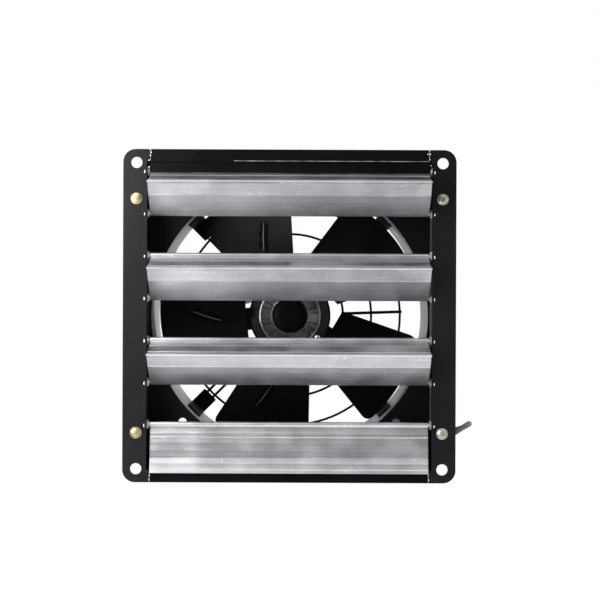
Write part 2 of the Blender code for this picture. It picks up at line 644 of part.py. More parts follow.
def make_fan():
    slant = math.cos(BLADE_PITCH)
    arm_shift = BLADE_SHEET / 2 + GAP + ARM_SHEET / 2
    front = -BLADE_SHEET / 2 * slant
    back = (arm_shift + ARM_SHEET / 2) * slant + GAP
    rivet = [(0, front - RIVET_HEAD_HEIGHT), (RIVET_HEAD_RADIUS / 2, front - RIVET_HEAD_HEIGHT),
             (RIVET_HEAD_RADIUS, front), (RIVET_RADIUS, front + RIVET_HEAD_HEIGHT / 2), (RIVET_RADIUS, back),
             (RIVET_HEAD_RADIUS, back), (RIVET_HEAD_RADIUS / 2, back + RIVET_HEAD_HEIGHT),
             (0, back + RIVET_HEAD_HEIGHT)]
    seats = []
    for number, angle in enumerate(blade_angles()):
        bm = bmesh.new()
        add_sheet(bm, blade_grid(), 0, BLADE_SHEET, around_y(angle))
        blade = new_object(f"fan_blade_{number + 1}", bm, "black_blade")
        boolean(blade, turned(f"rivet_guide_{number + 1}", rivet, None, 8, rivet_places(angle)), "UNION")
        seats += rivet_places(angle)
    hole = turned("rivet_hole_guide", [(0, -OVERRUN), (RIVET_RADIUS + GAP, -OVERRUN),
                                       (RIVET_RADIUS + GAP, OVERRUN), (0, OVERRUN)], None, 8, seats)
    flange_front = BLADE_PLANE + arm_shift - ARM_SHEET / 2
    flange_back = flange_front + ARM_SHEET
    bore = SHAFT_RADIUS + GAP
    boss = SHAFT_RADIUS * 2
    boss_back = MOTOR_FRONT - OVERRUN
    section = [(bore, HUB_FACE_PLANE), (HUB_FACE_RADIUS, HUB_FACE_PLANE), (HUB_CONE_RADIUS, flange_front),
               (HUB_RADIUS, flange_front), (HUB_RADIUS, flange_back),
               (HUB_CONE_RADIUS - HUB_SHEET / 2, flange_back),
               (HUB_FACE_RADIUS - HUB_SHEET / 2, HUB_FACE_PLANE + HUB_SHEET),
               (boss, HUB_FACE_PLANE + HUB_SHEET), (boss, boss_back), (bore, boss_back)]
    hub = turned("fan_hub", section, "hub_grey")
    bm = bmesh.new()
    arm_start = (HUB_CONE_RADIUS + HUB_RADIUS) / 2
    row_shares = (0, 0.5, 1)
    column_shares = (-1, -0.8, -0.4, 0, 0.4, 0.8, 1)
    arm = [[(arm_start + (ARM_REACH - arm_start) * row, ARM_HALF_WIDTH * share) for share in column_shares]
           for row in row_shares]
    for angle in blade_angles():
        add_sheet(bm, arm, arm_shift, ARM_SHEET, around_y(angle))
    boolean(hub, new_object("hub_arms_guide", bm), "UNION")
    boolean(hub, hole, "DIFFERENCE")
    make_hub_cap()


def make_hub_cap():
    """Domed cap over the nut that holds the hub on the shaft."""
    back = HUB_FACE_PLANE - GAP
    wall = HUB_SHEET
    dome_shares = ((0.55, 0.97), (0.85, 0.8), (0.97, 0.55), (1.0, 0.25))
    outer = [(CAP_RADIUS * reach, back - CAP_HEIGHT * rise) for reach, rise in dome_shares]
    inner = [((CAP_RADIUS - wall) * reach, back - (CAP_HEIGHT - wall) * rise) for reach, rise in dome_shares]
    section = [(0, back - CAP_HEIGHT)] + outer + [(CAP_RADIUS, back), (CAP_RADIUS - wall, back)]
    section += inner[::-1] + [(0, back - CAP_HEIGHT + wall)]
    turned("hub_cap", section, "black_plastic")
    shaft_front = back - CAP_HEIGHT + wall + GAP * 2
    nut = prism("hub_nut", circle(HUB_NUT_RADIUS, 6), "Y", shaft_front + GAP, back, "steel")
    drill(nut, "hub_nut_bore", "Y", [(0, 0)], SHAFT_RADIUS + GAP, shaft_front - OVERRUN, back + OVERRUN)
    shaft_end = MOTOR_REAR - MOTOR_WALL - GAP
    shaft = [(0, shaft_front), (SHAFT_RADIUS, shaft_front), (SHAFT_RADIUS, shaft_end), (0, shaft_end)]
    turned("motor_shaft", shaft, "steel", SMALL_SIDES)


def make_motor():
    """Enclosed motor: two drawn shields with bearing seats either side of the laminated stator."""
    shell = MOTOR_RADIUS - MOTOR_WALL
    chamfer = MOTOR_WALL * 1.2
    seat = BEARING_RADIUS + GAP
    seat_wall = seat + MOTOR_WALL
    shaft_hole = SHAFT_RADIUS + GAP * 4
    inside = MOTOR_FRONT + MOTOR_WALL
    seat_end = inside + BEARING_WIDTH
    front = [(shaft_hole, MOTOR_FRONT), (MOTOR_RADIUS - chamfer, MOTOR_FRONT),
             (MOTOR_RADIUS, MOTOR_FRONT + chamfer), (MOTOR_RADIUS, STATOR_FRONT - GAP),
             (shell, STATOR_FRONT - GAP), (shell, inside + chamfer), (shell - chamfer, inside),
             (seat_wall, inside), (seat_wall, seat_end), (seat, seat_end), (seat, inside),
             (shaft_hole, inside)]
    shield = turned("motor_front_shield", front, "black_coat")
    cavity_back = MOTOR_REAR - MOTOR_WALL
    rear_seat = cavity_back - BEARING_WIDTH
    rear = [(0, MOTOR_REAR), (MOTOR_RADIUS - chamfer, MOTOR_REAR), (MOTOR_RADIUS, MOTOR_REAR - chamfer),
            (MOTOR_RADIUS, STATOR_REAR + GAP), (shell, STATOR_REAR + GAP), (shell, cavity_back - chamfer),
            (shell - chamfer, cavity_back), (seat_wall, cavity_back), (seat_wall, rear_seat),
            (seat, rear_seat), (seat, cavity_back), (0, cavity_back)]
    rear_shield = turned("motor_rear_shield", rear, "black_coat")
    bore = ROTOR_RADIUS + AIR_GAP
    stator = [(bore, STATOR_FRONT), (MOTOR_RADIUS, STATOR_FRONT), (MOTOR_RADIUS, STATOR_REAR), (bore, STATOR_REAR)]
    core = turned("stator_core", stator, "laminations")
    windings = make_windings(bore, seat_end, rear_seat)
    slots = new_object("slot_guide", winding_bars(bore, GAP, STATOR_FRONT - OVERRUN, STATOR_REAR + OVERRUN))
    boolean(core, slots, "DIFFERENCE")
    core_bore = SHAFT_RADIUS + GAP
    rotor = [(core_bore, STATOR_FRONT), (ROTOR_RADIUS, STATOR_FRONT), (ROTOR_RADIUS, STATOR_REAR),
             (core_bore, STATOR_REAR)]
    turned("rotor_core", rotor, "laminations", ROUND_SIDES)
    for name, start in (("front_bearing", inside + GAP), ("rear_bearing", rear_seat)):
        end = start + BEARING_WIDTH - GAP
        race = [(core_bore, start), (BEARING_RADIUS, start), (BEARING_RADIUS, end), (core_bore, end)]
        turned(name, race, "steel", ROUND_SIDES)
    return shield, rear_shield


def winding_bars(bore, spare, start, end):
    """Straight runs of the windings through the stator's slots."""
    inner = bore + WINDING_STEP - spare
    outer = WINDING_RADIUS - WINDING_STEP + spare
    half = WINDING_BAR_WIDTH / 2 + spare
    bm = bmesh.new()
    for number in range(WINDING_BARS):
        turn = around_y(2 * math.pi * number / WINDING_BARS)
        add_prism(bm, rectangle(inner, outer, -half, half), "Y", start, end, turn)
    return bm


def make_windings(bore, front_limit, rear_limit):
    """Copper windings: a ring of coil heads at each end of the stator, joined through its slots."""
    inner = bore + GAP
    depth = min(STATOR_FRONT - front_limit, rear_limit - STATOR_REAR) - MOTOR_WALL
    bars = winding_bars(bore, 0, STATOR_FRONT - depth / 2, STATOR_REAR + depth / 2)
    windings = new_object("stator_windings", bars, "copper")
    for start, end in ((STATOR_FRONT - depth, STATOR_FRONT - GAP), (STATOR_REAR + GAP, STATOR_REAR + depth)):
        ring = turned(f"winding_head_guide_{round(start / MM)}",
                      [(inner, start), (WINDING_RADIUS, start), (WINDING_RADIUS, end), (inner, end)],
                      None, SMALL_SIDES * 2)
        boolean(windings, ring, "UNION")
    return windings


def as_mesh(obj, finish_name=None):
    """Turns a wire into a mesh object of the same name, so that it can be joined or cut."""
    name = obj.name
    mesh = bpy.data.meshes.new_from_object(obj)
    bpy.data.objects.remove(obj)
    bm = bmesh.new()
    bm.from_mesh(mesh)
    bpy.data.meshes.remove(mesh)
    bmesh.ops.remove_doubles(bm, verts=bm.verts[:], dist=GAP / 100)
    return new_object(name, bm, finish_name)


def make_guard(shields):
    """Welded rear guard that also carries the motor, hung from four brackets on the inlet ring."""
    rings = [[(radius * math.cos(a), GUARD_PLANE, radius * math.sin(a))
              for a in (2 * math.pi * step / GUARD_STEPS for step in range(GUARD_STEPS))] for radius in GUARD_RADII]
    guard = as_mesh(wires("wire_guard", rings, GUARD_WIRE, "black_coat", closed=True), "black_coat")
    rod_plane = GUARD_PLANE - GUARD_WIRE / 2 - ROD_DIAMETER / 2 + WELD_SINK
    rods = [[(math.cos(a) * reach, rod_plane, math.sin(a) * reach) for reach in (ROD_INNER, ROD_OUTER)]
            for a in (ROD_TURN + math.pi / 2 * number for number in range(4))]
    rod_guide = as_mesh(wires("rod_guide", rods, ROD_DIAMETER, "black_coat", resolution=2))
    boolean(guard, rod_guide, "UNION")
    pin_plane = GUARD_PLANE + GUARD_WIRE / 2 + HAIRPIN_DIAMETER / 2 - WELD_SINK
    bend = arc(HAIRPIN_SPREAD, math.pi / 2, 3 * math.pi / 2, 8, (EAR_RADIUS, 0))
    flat = [(HAIRPIN_OUTER, HAIRPIN_SPREAD)] + bend + [(HAIRPIN_OUTER, -HAIRPIN_SPREAD)]
    turns = [around_y(math.pi / 4 + math.pi / 2 * number) for number in range(4)]
    hairpins = [[turn @ Vector((x, pin_plane, z)) for x, z in flat] for turn in turns]
    pin_guide = as_mesh(wires("hairpin_guide", hairpins, HAIRPIN_DIAMETER, "black_coat", resolution=2))
    boolean(guard, pin_guide, "UNION")
    pin_front = pin_plane - HAIRPIN_DIAMETER / 2 - GAP
    pin_back = pin_plane + HAIRPIN_DIAMETER / 2 + GAP
    make_brackets(turns, pin_front, pin_back)
    make_motor_mount(shields, turns, pin_front, pin_back)


def make_motor_mount(shields, turns, pin_front, pin_back):
    """Ears on both motor shields, and the long bolts that clamp the hairpin loops between them."""
    ear_half = HAIRPIN_SPREAD + HAIRPIN_DIAMETER / 2
    ear_inner = MOTOR_RADIUS - MOTOR_WALL / 2
    ear = rectangle(ear_inner, EAR_RADIUS + ear_half / 2, -ear_half, ear_half)
    rear_ear = STATOR_REAR + GAP
    centres = [turn @ Vector((EAR_RADIUS, 0, 0)) for turn in turns]
    holes = [(place.x, place.z) for place in centres]
    for shield, start in zip(shields, (pin_front - EAR_THICKNESS, rear_ear)):
        ears = bmesh.new()
        for turn in turns:
            add_prism(ears, ear, "Y", start, start + EAR_THICKNESS, turn)
        boolean(shield, new_object(shield.name + "_ear_guide", ears), "UNION")
        drill(shield, shield.name + "_ear_holes", "Y", holes, MOTOR_BOLT_RADIUS + GAP,
              start - OVERRUN, start + EAR_THICKNESS + OVERRUN, 8)
    head = pin_front - EAR_THICKNESS - GAP
    tail = rear_ear + EAR_THICKNESS + GAP
    washer_end = pin_back + MOTOR_BOLT_HEAD_HEIGHT
    bolt = [(0, head - MOTOR_BOLT_HEAD_HEIGHT), (MOTOR_BOLT_HEAD_RADIUS, head - MOTOR_BOLT_HEAD_HEIGHT),
            (MOTOR_BOLT_HEAD_RADIUS, head), (MOTOR_BOLT_RADIUS, head), (MOTOR_BOLT_RADIUS, pin_back),
            (MOTOR_NUT_FLANGE, pin_back), (MOTOR_NUT_FLANGE, washer_end), (MOTOR_BOLT_RADIUS, washer_end),
            (MOTOR_BOLT_RADIUS, tail), (MOTOR_BOLT_HEAD_RADIUS, tail),
            (MOTOR_BOLT_HEAD_RADIUS, tail + MOTOR_BOLT_HEAD_HEIGHT), (0, tail + MOTOR_BOLT_HEAD_HEIGHT)]
    for number, place in enumerate(centres):
        turned(f"motor_bolt_{number + 1}", bolt, "steel", 8, [Matrix.Translation(place)])


def ring_inside(y):
    """Inner radius of the inlet ring at a depth."""
    share = (y - BOX_DEPTH - GAP) / (RING_REAR - BOX_DEPTH - GAP)
    return RING_FRONT_RADIUS + (RING_REAR_RADIUS - RING_FRONT_RADIUS) * share


def make_brackets(turns, leg_back, clamp_front):
    """Four angle brackets on the ring's inner wall, each riveted to a clamp plate over the wires."""
    half = BRACKET_WIDTH / 2
    chord = half ** 2 / 2 / RING_REAR_RADIUS + GAP * 1.5
    front, rear = ring_inside(BRACKET_FRONT) - chord, ring_inside(RING_REAR) - chord
    leg_front = leg_back - SHEET
    outline = [(front, BRACKET_FRONT), (rear, leg_back), (BRACKET_INNER, leg_back), (BRACKET_INNER, leg_front),
               (rear - SHEET, leg_front), (front - SHEET, BRACKET_FRONT)]
    clamp_back = clamp_front + SHEET
    clamp = rectangle(BRACKET_INNER, HAIRPIN_OUTER, -CLAMP_WIDTH / 2, CLAMP_WIDTH / 2)
    span = HAIRPIN_OUTER - BRACKET_INNER
    rivet = [(0, leg_front - RIVET_HEAD_HEIGHT), (CLAMP_RIVET_HEAD / 2, leg_front - RIVET_HEAD_HEIGHT),
             (CLAMP_RIVET_HEAD, leg_front), (CLAMP_RIVET_HEAD, leg_front + SHEET / 2),
             (CLAMP_RIVET_RADIUS, leg_front + SHEET / 2), (CLAMP_RIVET_RADIUS, clamp_front + SHEET / 2),
             (0, clamp_front + SHEET / 2)]
    for number, turn in enumerate(turns):
        bm = bmesh.new()
        add_prism(bm, outline, "Z", -half, half, turn)
        bracket = new_object(f"guard_bracket_{number + 1}", bm, "black_coat")
        seats = [turn @ Matrix.Translation((BRACKET_INNER + span * share, 0, 0)) for share in CLAMP_RIVET_SHARES]
        boolean(bracket, turned(f"clamp_rivet_guide_{number + 1}", rivet, None, 8, seats), "UNION")
        bm = bmesh.new()
        add_prism(bm, clamp, "Y", clamp_front, clamp_back, turn)
        boolean(bracket, new_object(f"clamp_plate_guide_{number + 1}", bm), "UNION")


def place_lower_right(obj):
    """Turns a piece built along +X to the lower right, where the cord leaves the motor."""
    obj.data.transform(around_y(CORD_ANGLE))
    return obj


def make_supply():
    """Terminal box on the motor's back, gland and clip that lead the cord away from it."""
    half = BOX_WIDTH / 2
    box = place_lower_right(prism("terminal_box", rectangle(-half, half, -half, half), "Y",
                                  BOX_FRONT, BOX_BACK, "black_plastic"))
    wall = BOX_WALL
    inside = half - wall
    hollow = rectangle(-inside, inside, -inside, inside)
    cutter = place_lower_right(prism("terminal_hollow_guide", hollow, "Y", BOX_FRONT + wall, BOX_BACK + OVERRUN))
    boolean(box, cutter, "DIFFERENCE")
    place_lower_right(prism("terminal_box_lid", rectangle(-half, half, -half, half), "Y",
                            BOX_BACK + GAP, BOX_BACK + GAP + wall, "black_plastic"))
    start = half + GAP
    nut_end = start + GLAND_NUT_LENGTH
    end = start + GLAND_LENGTH
    gland = [(0, start), (GLAND_RADIUS, start), (GLAND_RADIUS, nut_end), (GLAND_RADIUS * 0.8, nut_end + wall),
             (CORD_DIAMETER * 0.75, end), (0, end)]
    middle = (BOX_FRONT + BOX_BACK) / 2
    seat = around_y(CORD_ANGLE) @ Matrix.Translation((0, middle, 0)) @ Matrix.Rotation(-math.pi / 2, 4, "Z")
    turned("cable_gland", gland, "black_plastic", SMALL_SIDES, [seat])
    clip_outline = [(CLIP_PLANE + y, z) for y, z in rectangle(-CLIP_SIZE / 2, CLIP_SIZE / 2,
                                                            -CLIP_SIZE / 2, CLIP_SIZE / 2)]
    clip = place_lower_right(prism("cord_clip", clip_outline, "X", CLIP_START, CLIP_START + CLIP_LENGTH,
                                   "black_plastic"))
    bore = prism("clip_bore_guide", circle(CORD_DIAMETER / 2 + GAP, SMALL_SIDES, (CLIP_PLANE, 0)), "X",
                 CLIP_START - OVERRUN, CLIP_START + CLIP_LENGTH + OVERRUN)
    boolean(clip, place_lower_right(bore), "DIFFERENCE")
    seat = around_y(CAPACITOR_ANGLE) @ Matrix.Translation((MOTOR_RADIUS + GAP + CAPACITOR_RADIUS, 0, 0))
    back = CAPACITOR_FRONT + CAPACITOR_LENGTH
    can = [(0, CAPACITOR_FRONT), (CAPACITOR_RADIUS, CAPACITOR_FRONT), (CAPACITOR_RADIUS, back), (0, back)]
    turned("run_capacitor", can, "pale_plastic", SMALL_SIDES * 2, [seat])


def smooth_path(points, spacing):
    """Even points along a smooth curve through the given ones."""
    fine = []
    count = len(points)
    for index in range(count - 1):
        before, start = points[max(index - 1, 0)], points[index]
        end, after = points[index + 1], points[min(index + 2, count - 1)]
        reach = (end - start).length / 3
        leave = (end - before).normalized() * reach
        arrive = (after - start).normalized() * reach
        fine += interpolate_bezier(start, start + leave, end - arrive, end, 24)[:-1]
    fine.append(points[-1])
    lengths = [(b - a).length for a, b in zip(fine, fine[1:])]
    total = sum(lengths)
    pieces = max(2, round(total / spacing))
    even, walked, target = [fine[0]], 0, total / pieces
    for (a, b), length in zip(zip(fine, fine[1:]), lengths):
        while target < walked + length and len(even) < pieces:
            even.append(a.lerp(b, (target - walked) / length))
            target += total / pieces
        walked += length
    even.append(fine[-1])
    return even


def path_length(points):
    return sum((b - a).length for a, b in zip(points, points[1:]))


def tightest_bend(points):
    """Smallest radius of the circle through three neighbouring points."""
    least = math.inf
    for a, b, c in zip(points, points[1:], points[2:]):
        area = (b - a).cross(c - a).length
        if area > 0:
            least = min(least, (b - a).length * (c - b).length * (c - a).length / (2 * area))
    return least


def coil_path():
    """Turns of the stored cord: layers that spiral in and out, the first one in front."""
    turns = COIL_LAYERS * COIL_TURNS_PER_LAYER - COIL_OPEN_SHARE
    front = COIL_FRONT + CORD_DIAMETER / 2
    points = []
    steps = round(turns * COIL_POINTS_PER_TURN)
    for step in range(steps + 1):
        turn = step / COIL_POINTS_PER_TURN
        within = turn % (2 * COIL_TURNS_PER_LAYER)
        inward = min(within, 2 * COIL_TURNS_PER_LAYER - within)
        radius = COIL_RADIUS + COIL_PITCH * (COIL_TURNS_PER_LAYER / 2 - inward)
        layer = 0
        for climb in range(1, COIL_LAYERS):
            share = (turn - climb * COIL_TURNS_PER_LAYER) / COIL_CLIMB_TURNS + 0.5
            share = min(1, max(0, share))
            layer += share * share * (3 - 2 * share)
        y = front + COIL_PITCH * layer
        angle = -2 * math.pi * turn
        points.append(Vector((COIL_CENTRE_X + radius * math.cos(angle), y,
                              COIL_CENTRE_Z + radius * math.sin(angle))))
    first, last = points[0], points[-1]
    points.insert(0, first + Vector((0, 0, CORD_DIAMETER)))
    points.append(last + Vector((-COIL_TAIL, 0, 0)))
    return points


def least_gap(points):
    """Smallest clear gap between stretches of the coil that aren't neighbours along it."""
    fine = [a.lerp(b, share / 4) for a, b in zip(points, points[1:]) for share in range(4)]
    apart = COIL_POINTS_PER_TURN * 4 // 3
    least = math.inf
    for index, here in enumerate(fine):
        for other in fine[index + apart:]:
            least = min(least, (here - other).length_squared)
    return math.sqrt(least) - CORD_DIAMETER


def make_cord():
    """The free cord from gland to coil, the coil, the short lead to the plug, the tie and the plug."""
    coil = coil_path()
    outward = Vector((math.cos(CORD_ANGLE), 0, math.sin(CORD_ANGLE)))
    box_middle = (BOX_FRONT + BOX_BACK) / 2
    start = outward * (BOX_WIDTH / 2 + GLAND_LENGTH + GAP * 3) + Vector((0, box_middle, 0))
    into_coil = coil[0] + Vector((0, 0, GAP))
    route = [start, start + outward * CORD_DIAMETER] + [Vector(point) * MM for point in CORD_ROUTE]
    route.append(into_coil)
    free = smooth_path(route, CORD_DIAMETER * 1.6)
    wires("power_cord", [free], CORD_DIAMETER, "black_rubber", resolution=2)
    wires("cord_coil", [coil], CORD_DIAMETER, "black_rubber")
    make_plug(coil[-1])
    make_tie()
    whole = path_length(free) + path_length(coil)
    print(f"cord: {whole:.3f} m in all, {path_length(free):.3f} m free, {path_length(coil):.3f} m coiled")
    print(f"cord: tightest free bend {tightest_bend(free) / MM:.1f} mm")
    print(f"coil: least gap to itself {least_gap(coil) / MM:.2f} mm")


def make_plug(lead_end):
    """Plain two-pin plug beyond the coil."""
    start = lead_end.x - GAP
    shoulder = start - PLUG_RELIEF_LENGTH
    end = shoulder - PLUG_LENGTH
    seat = Matrix.Translation((0, lead_end.y, lead_end.z)) @ Matrix.Rotation(math.pi / 2, 4, "Z")
    relief_end = CORD_DIAMETER * 0.7
    relief = [(0, -start), (relief_end, -start), (relief_end * 1.3, -shoulder + SHEET), (0, -shoulder + SHEET)]
    body = prism("plug_body", [(lead_end.y + y, lead_end.z + z) for y, z in
                               rectangle(-PLUG_WIDTH / 2, PLUG_WIDTH / 2, -PLUG_HEIGHT / 2, PLUG_HEIGHT / 2)],
                 "X", end, shoulder, "black_plastic")
    boolean(body, turned("plug_relief_guide", relief, None, SMALL_SIDES, [seat]), "UNION")
    bm = bmesh.new()
    for side in (-1, 1):
        centre = (lead_end.y + side * PLUG_PIN_PITCH / 2, lead_end.z)
        add_prism(bm, circle(PLUG_PIN_RADIUS, 8, centre), "X", end + SHEET, end - PLUG_PIN_LENGTH)
    boolean(body, new_object("plug_pin_guide", bm), "UNION")


def make_tie():
    """Cable tie round the coil's bundle, at its lower left."""
    layers = COIL_PITCH * (COIL_LAYERS - 1) + CORD_DIAMETER
    width = COIL_PITCH * COIL_TURNS_PER_LAYER + CORD_DIAMETER
    front = COIL_FRONT - GAP
    back = front + layers + GAP * 2
    inner = COIL_RADIUS - width / 2 - GAP
    outer = COIL_RADIUS + width / 2 + GAP
    thick = TIE_THICKNESS
    turn = Matrix.Translation((COIL_CENTRE_X, 0, COIL_CENTRE_Z)) @ around_y(TIE_ANGLE)
    bm = bmesh.new()
    half = TIE_WIDTH / 2
    add_prism(bm, rectangle(inner - thick, outer + thick, front - thick, back + thick), "Z", -half, half, turn)
    tie = new_object("cord_tie", bm, "black_plastic")
    bm = bmesh.new()
    add_prism(bm, rectangle(inner, outer, front, back), "Z", -half - OVERRUN, half + OVERRUN, turn)
    boolean(tie, new_object("tie_hollow_guide", bm), "DIFFERENCE")


def main():
    for obj in list(bpy.data.objects):
        bpy.data.objects.remove(obj)
    make_frame()
    make_frame_screws()
    make_louvres()
    make_bushes()
    make_fan()
    make_guard(make_motor())
    make_supply()
    make_cord()


main()
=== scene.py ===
# %% [markdown]
# # Shutter exhaust fan
#
# A wall fan seen from outside: a black sheet-steel box with seven pivoting aluminium louvres, and
# behind them a five-blade wheel in a rolled ring, with its motor held by a wire guard. The packed
# model brings the solids. This lesson dresses them: it adds the shapes and finishes that a plain
# solid doesn't have. Everything is in metres, +Z is up and -Y points to the viewer.

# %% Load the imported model
from math import asin, atan, atan2, copysign, cos, degrees, exp, pi, radians, sin, sqrt, tan

import bmesh
import bpy
from mathutils import Matrix, Vector
from mathutils.geometry import interpolate_bezier


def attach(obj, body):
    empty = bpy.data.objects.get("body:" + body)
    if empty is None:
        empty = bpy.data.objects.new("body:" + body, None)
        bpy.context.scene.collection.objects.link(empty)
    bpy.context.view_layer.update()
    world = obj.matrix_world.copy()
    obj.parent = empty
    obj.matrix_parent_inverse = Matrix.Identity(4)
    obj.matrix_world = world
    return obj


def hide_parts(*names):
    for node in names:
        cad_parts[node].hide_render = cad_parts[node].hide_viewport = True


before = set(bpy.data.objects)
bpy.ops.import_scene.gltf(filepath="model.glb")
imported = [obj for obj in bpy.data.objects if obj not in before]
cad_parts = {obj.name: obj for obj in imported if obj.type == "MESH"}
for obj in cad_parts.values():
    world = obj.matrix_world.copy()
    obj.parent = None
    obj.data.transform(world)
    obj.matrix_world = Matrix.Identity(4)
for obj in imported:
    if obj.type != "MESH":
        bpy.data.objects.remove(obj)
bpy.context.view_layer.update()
MM = 0.001
print("model loaded:", len(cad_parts), "nodes")

# %% [markdown]
# ## Camera
#
# The photograph shows the fan square from the front, with very little perspective. The inner edges
# of the box and the ring give the distance: about 1.77 m with a long lens. The eye is a little right
# of the middle and a little above it, and the picture is turned by a quarter of a degree.

# %% Set up the camera
def look(place, lens, roll):
    data = bpy.data.cameras.new("camera")
    data.lens = lens
    data.sensor_width = 36
    camera = bpy.data.objects.new("camera", data)
    turn = Matrix.Rotation(pi / 2, 4, "X") @ Matrix.Rotation(roll, 4, "Z")
    camera.matrix_world = Matrix.Translation(place) @ turn
    bpy.context.collection.objects.link(camera)
    bpy.context.scene.camera = camera
    return camera


camera = look(Vector((11.7, -1770, 18)) * MM, 95.6, radians(0.23))
print("camera at", tuple(round(c, 3) for c in camera.location))

# %% [markdown]
# ## The tools of this lesson
#
# The first helpers turn a bmesh into an object, freeze modifiers and Geometry Nodes into a plain mesh,
# and say which body a piece rides on and which plain solids it stands for. The second ones place
# things: most of the fan repeats round its axis, which is Y.

# %% Helpers for pieces
def add_object(name, data, material=None):
    piece = bpy.data.objects.new(name, data)
    bpy.context.collection.objects.link(piece)
    if material:
        data.materials.append(material)
    return piece


def from_bmesh(name, bm, material, smooth=35):
    """A closed shell with its faces outwards and its edges above the given angle left sharp."""
    bmesh.ops.remove_doubles(bm, verts=bm.verts[:], dist=0.001 * MM)
    bmesh.ops.recalc_face_normals(bm, faces=bm.faces[:])
    mesh = bpy.data.meshes.new(name)
    bm.to_mesh(mesh)
    bm.free()
    mesh.shade_smooth()
    mesh.set_sharp_from_angle(angle=radians(smooth))
    return add_object(name, mesh, material)


def frozen(piece, smooth=35):
    """Applies every modifier and leaves one plain mesh of the same name."""
    depsgraph = bpy.context.evaluated_depsgraph_get()
    mesh = bpy.data.meshes.new_from_object(piece.evaluated_get(depsgraph))
    name = piece.name
    materials = [slot.material for slot in piece.material_slots]
    bpy.data.objects.remove(piece)
    for material in materials:
        if material and material.name not in mesh.materials:
            mesh.materials.append(material)
    mesh.shade_smooth()
    mesh.set_sharp_from_angle(angle=radians(smooth))
    return add_object(name, mesh)


def ride(piece, body, slot, *nodes):
    """Fixes a finished piece to its body and hides the plain solids that it stands for."""
    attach(piece, body)
    if nodes:
        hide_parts(*nodes)
    return piece


def dress(material, *nodes):
    """Gives plain solids that stay as they are a new finish."""
    for node in nodes:
        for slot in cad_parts[node].material_slots:
            slot.material = material


# %% Helpers for places
def at(x, y, z):
    """A place in millimetres."""
    return Matrix.Translation(Vector((x, y, z)) * MM)


def around_y(angle):
    """Turns the +X direction by an angle, counter-clockwise as the viewer sees it."""
    return Matrix.Rotation(-angle, 4, "Y")


def turns(count, start=0.0):
    return [start + 2 * pi * n / count for n in range(count)]


def moved(piece, matrix):
    piece.data.transform(matrix)
    return piece


def copies_round(make, angles):
    """Makes a piece anew for every angle, each turned round the fan's axis."""
    return [moved(make(), around_y(angle)) for angle in angles]


DIAGONALS = turns(4, pi / 4)

# %% [markdown]
# Most shapes are drawn in millimetres, either as a profile that is spun round the axis or as an
# outline that is pulled into a slab.

# %% Helpers for shapes
FLAT_ANGLE = 18


def spun(bm, profile, sides, matrix=Matrix()):
    """Adds a closed profile of (radius, depth) points, spun round the Y axis and then placed."""
    ring = [bm.verts.new((radius * MM, depth * MM, 0)) for radius, depth in profile]
    edges = [bm.edges.new((ring[i - 1], ring[i])) for i in range(len(ring))]
    before = set(bm.verts)
    bmesh.ops.spin(bm, geom=ring + edges, cent=(0, 0, 0), axis=(0, 1, 0), angle=2 * pi,
                   steps=sides, use_merge=True)
    new = [v for v in bm.verts if v not in before or v in ring]
    bmesh.ops.transform(bm, matrix=matrix, verts=new)


def spun_part(name, profile, sides, material=None):
    bm = bmesh.new()
    spun(bm, profile, sides)
    return from_bmesh(name, bm, material)


def slab(name, outline, axis, start, end):
    """A prism over an outline of (a, b) points square to X, Y or Z."""
    def corner(a, b, along):
        return Vector({"X": (along, a, b), "Y": (a, along, b), "Z": (a, b, along)}[axis]) * MM
    bm = bmesh.new()
    low = [bm.verts.new(corner(a, b, start)) for a, b in outline]
    high = [bm.verts.new(corner(a, b, end)) for a, b in outline]
    bm.faces.new(low)
    bm.faces.new(high)
    for i in range(len(low)):
        bm.faces.new((low[i - 1], low[i], high[i], high[i - 1]))
    return from_bmesh(name, bm, None)


def box_outline(a0, a1, b0, b1):
    return [(a0, b0), (a1, b0), (a1, b1), (a0, b1)]


def disc_outline(radius, centre=(0, 0), sides=32):
    return [(centre[0] + radius * cos(a), centre[1] + radius * sin(a)) for a in turns(sides)]


def joined(name, pieces, material, smooth=FLAT_ANGLE):
    """Puts several finished shells into one piece."""
    bm = bmesh.new()
    for piece in pieces:
        bm.from_mesh(piece.data)
        bpy.data.objects.remove(piece)
    for face in bm.faces:
        face.material_index = 0
    return from_bmesh(name, bm, material, smooth)


def combine(piece, others, operation="DIFFERENCE"):
    """Cuts the other pieces out of a piece, or unites them with it, and uses them up."""
    for other in others:
        step = piece.modifiers.new(operation.lower(), "BOOLEAN")
        step.operation, step.solver, step.object = operation, "EXACT", other
    result = frozen(piece)
    for other in others:
        bpy.data.objects.remove(other)
    return result


def softened(piece, width, material, segments=2):
    """Rounds the edges sharper than 30 degrees, then sets the finish. Flat faces stay flat."""
    bm = bmesh.new()
    bm.from_mesh(piece.data)
    bmesh.ops.remove_doubles(bm, verts=bm.verts[:], dist=0.002 * MM)
    bmesh.ops.dissolve_limit(bm, angle_limit=radians(0.5), verts=bm.verts[:], edges=bm.edges[:])
    bm.to_mesh(piece.data)
    bm.free()
    bevel = piece.modifiers.new("edges", "BEVEL")
    bevel.width, bevel.segments = width * MM, segments
    bevel.limit_method, bevel.angle_limit = "ANGLE", radians(30)
    piece.data.materials.clear()
    piece.data.materials.append(material)
    return frozen(piece, FLAT_ANGLE)


def round_curve(name, diameter):
    """An empty curve whose splines become wires of that diameter."""
    curve = bpy.data.curves.new(name, "CURVE")
    curve.dimensions = "3D"
    curve.bevel_depth, curve.bevel_resolution, curve.use_fill_caps = diameter / 2, 4, True
    return curve


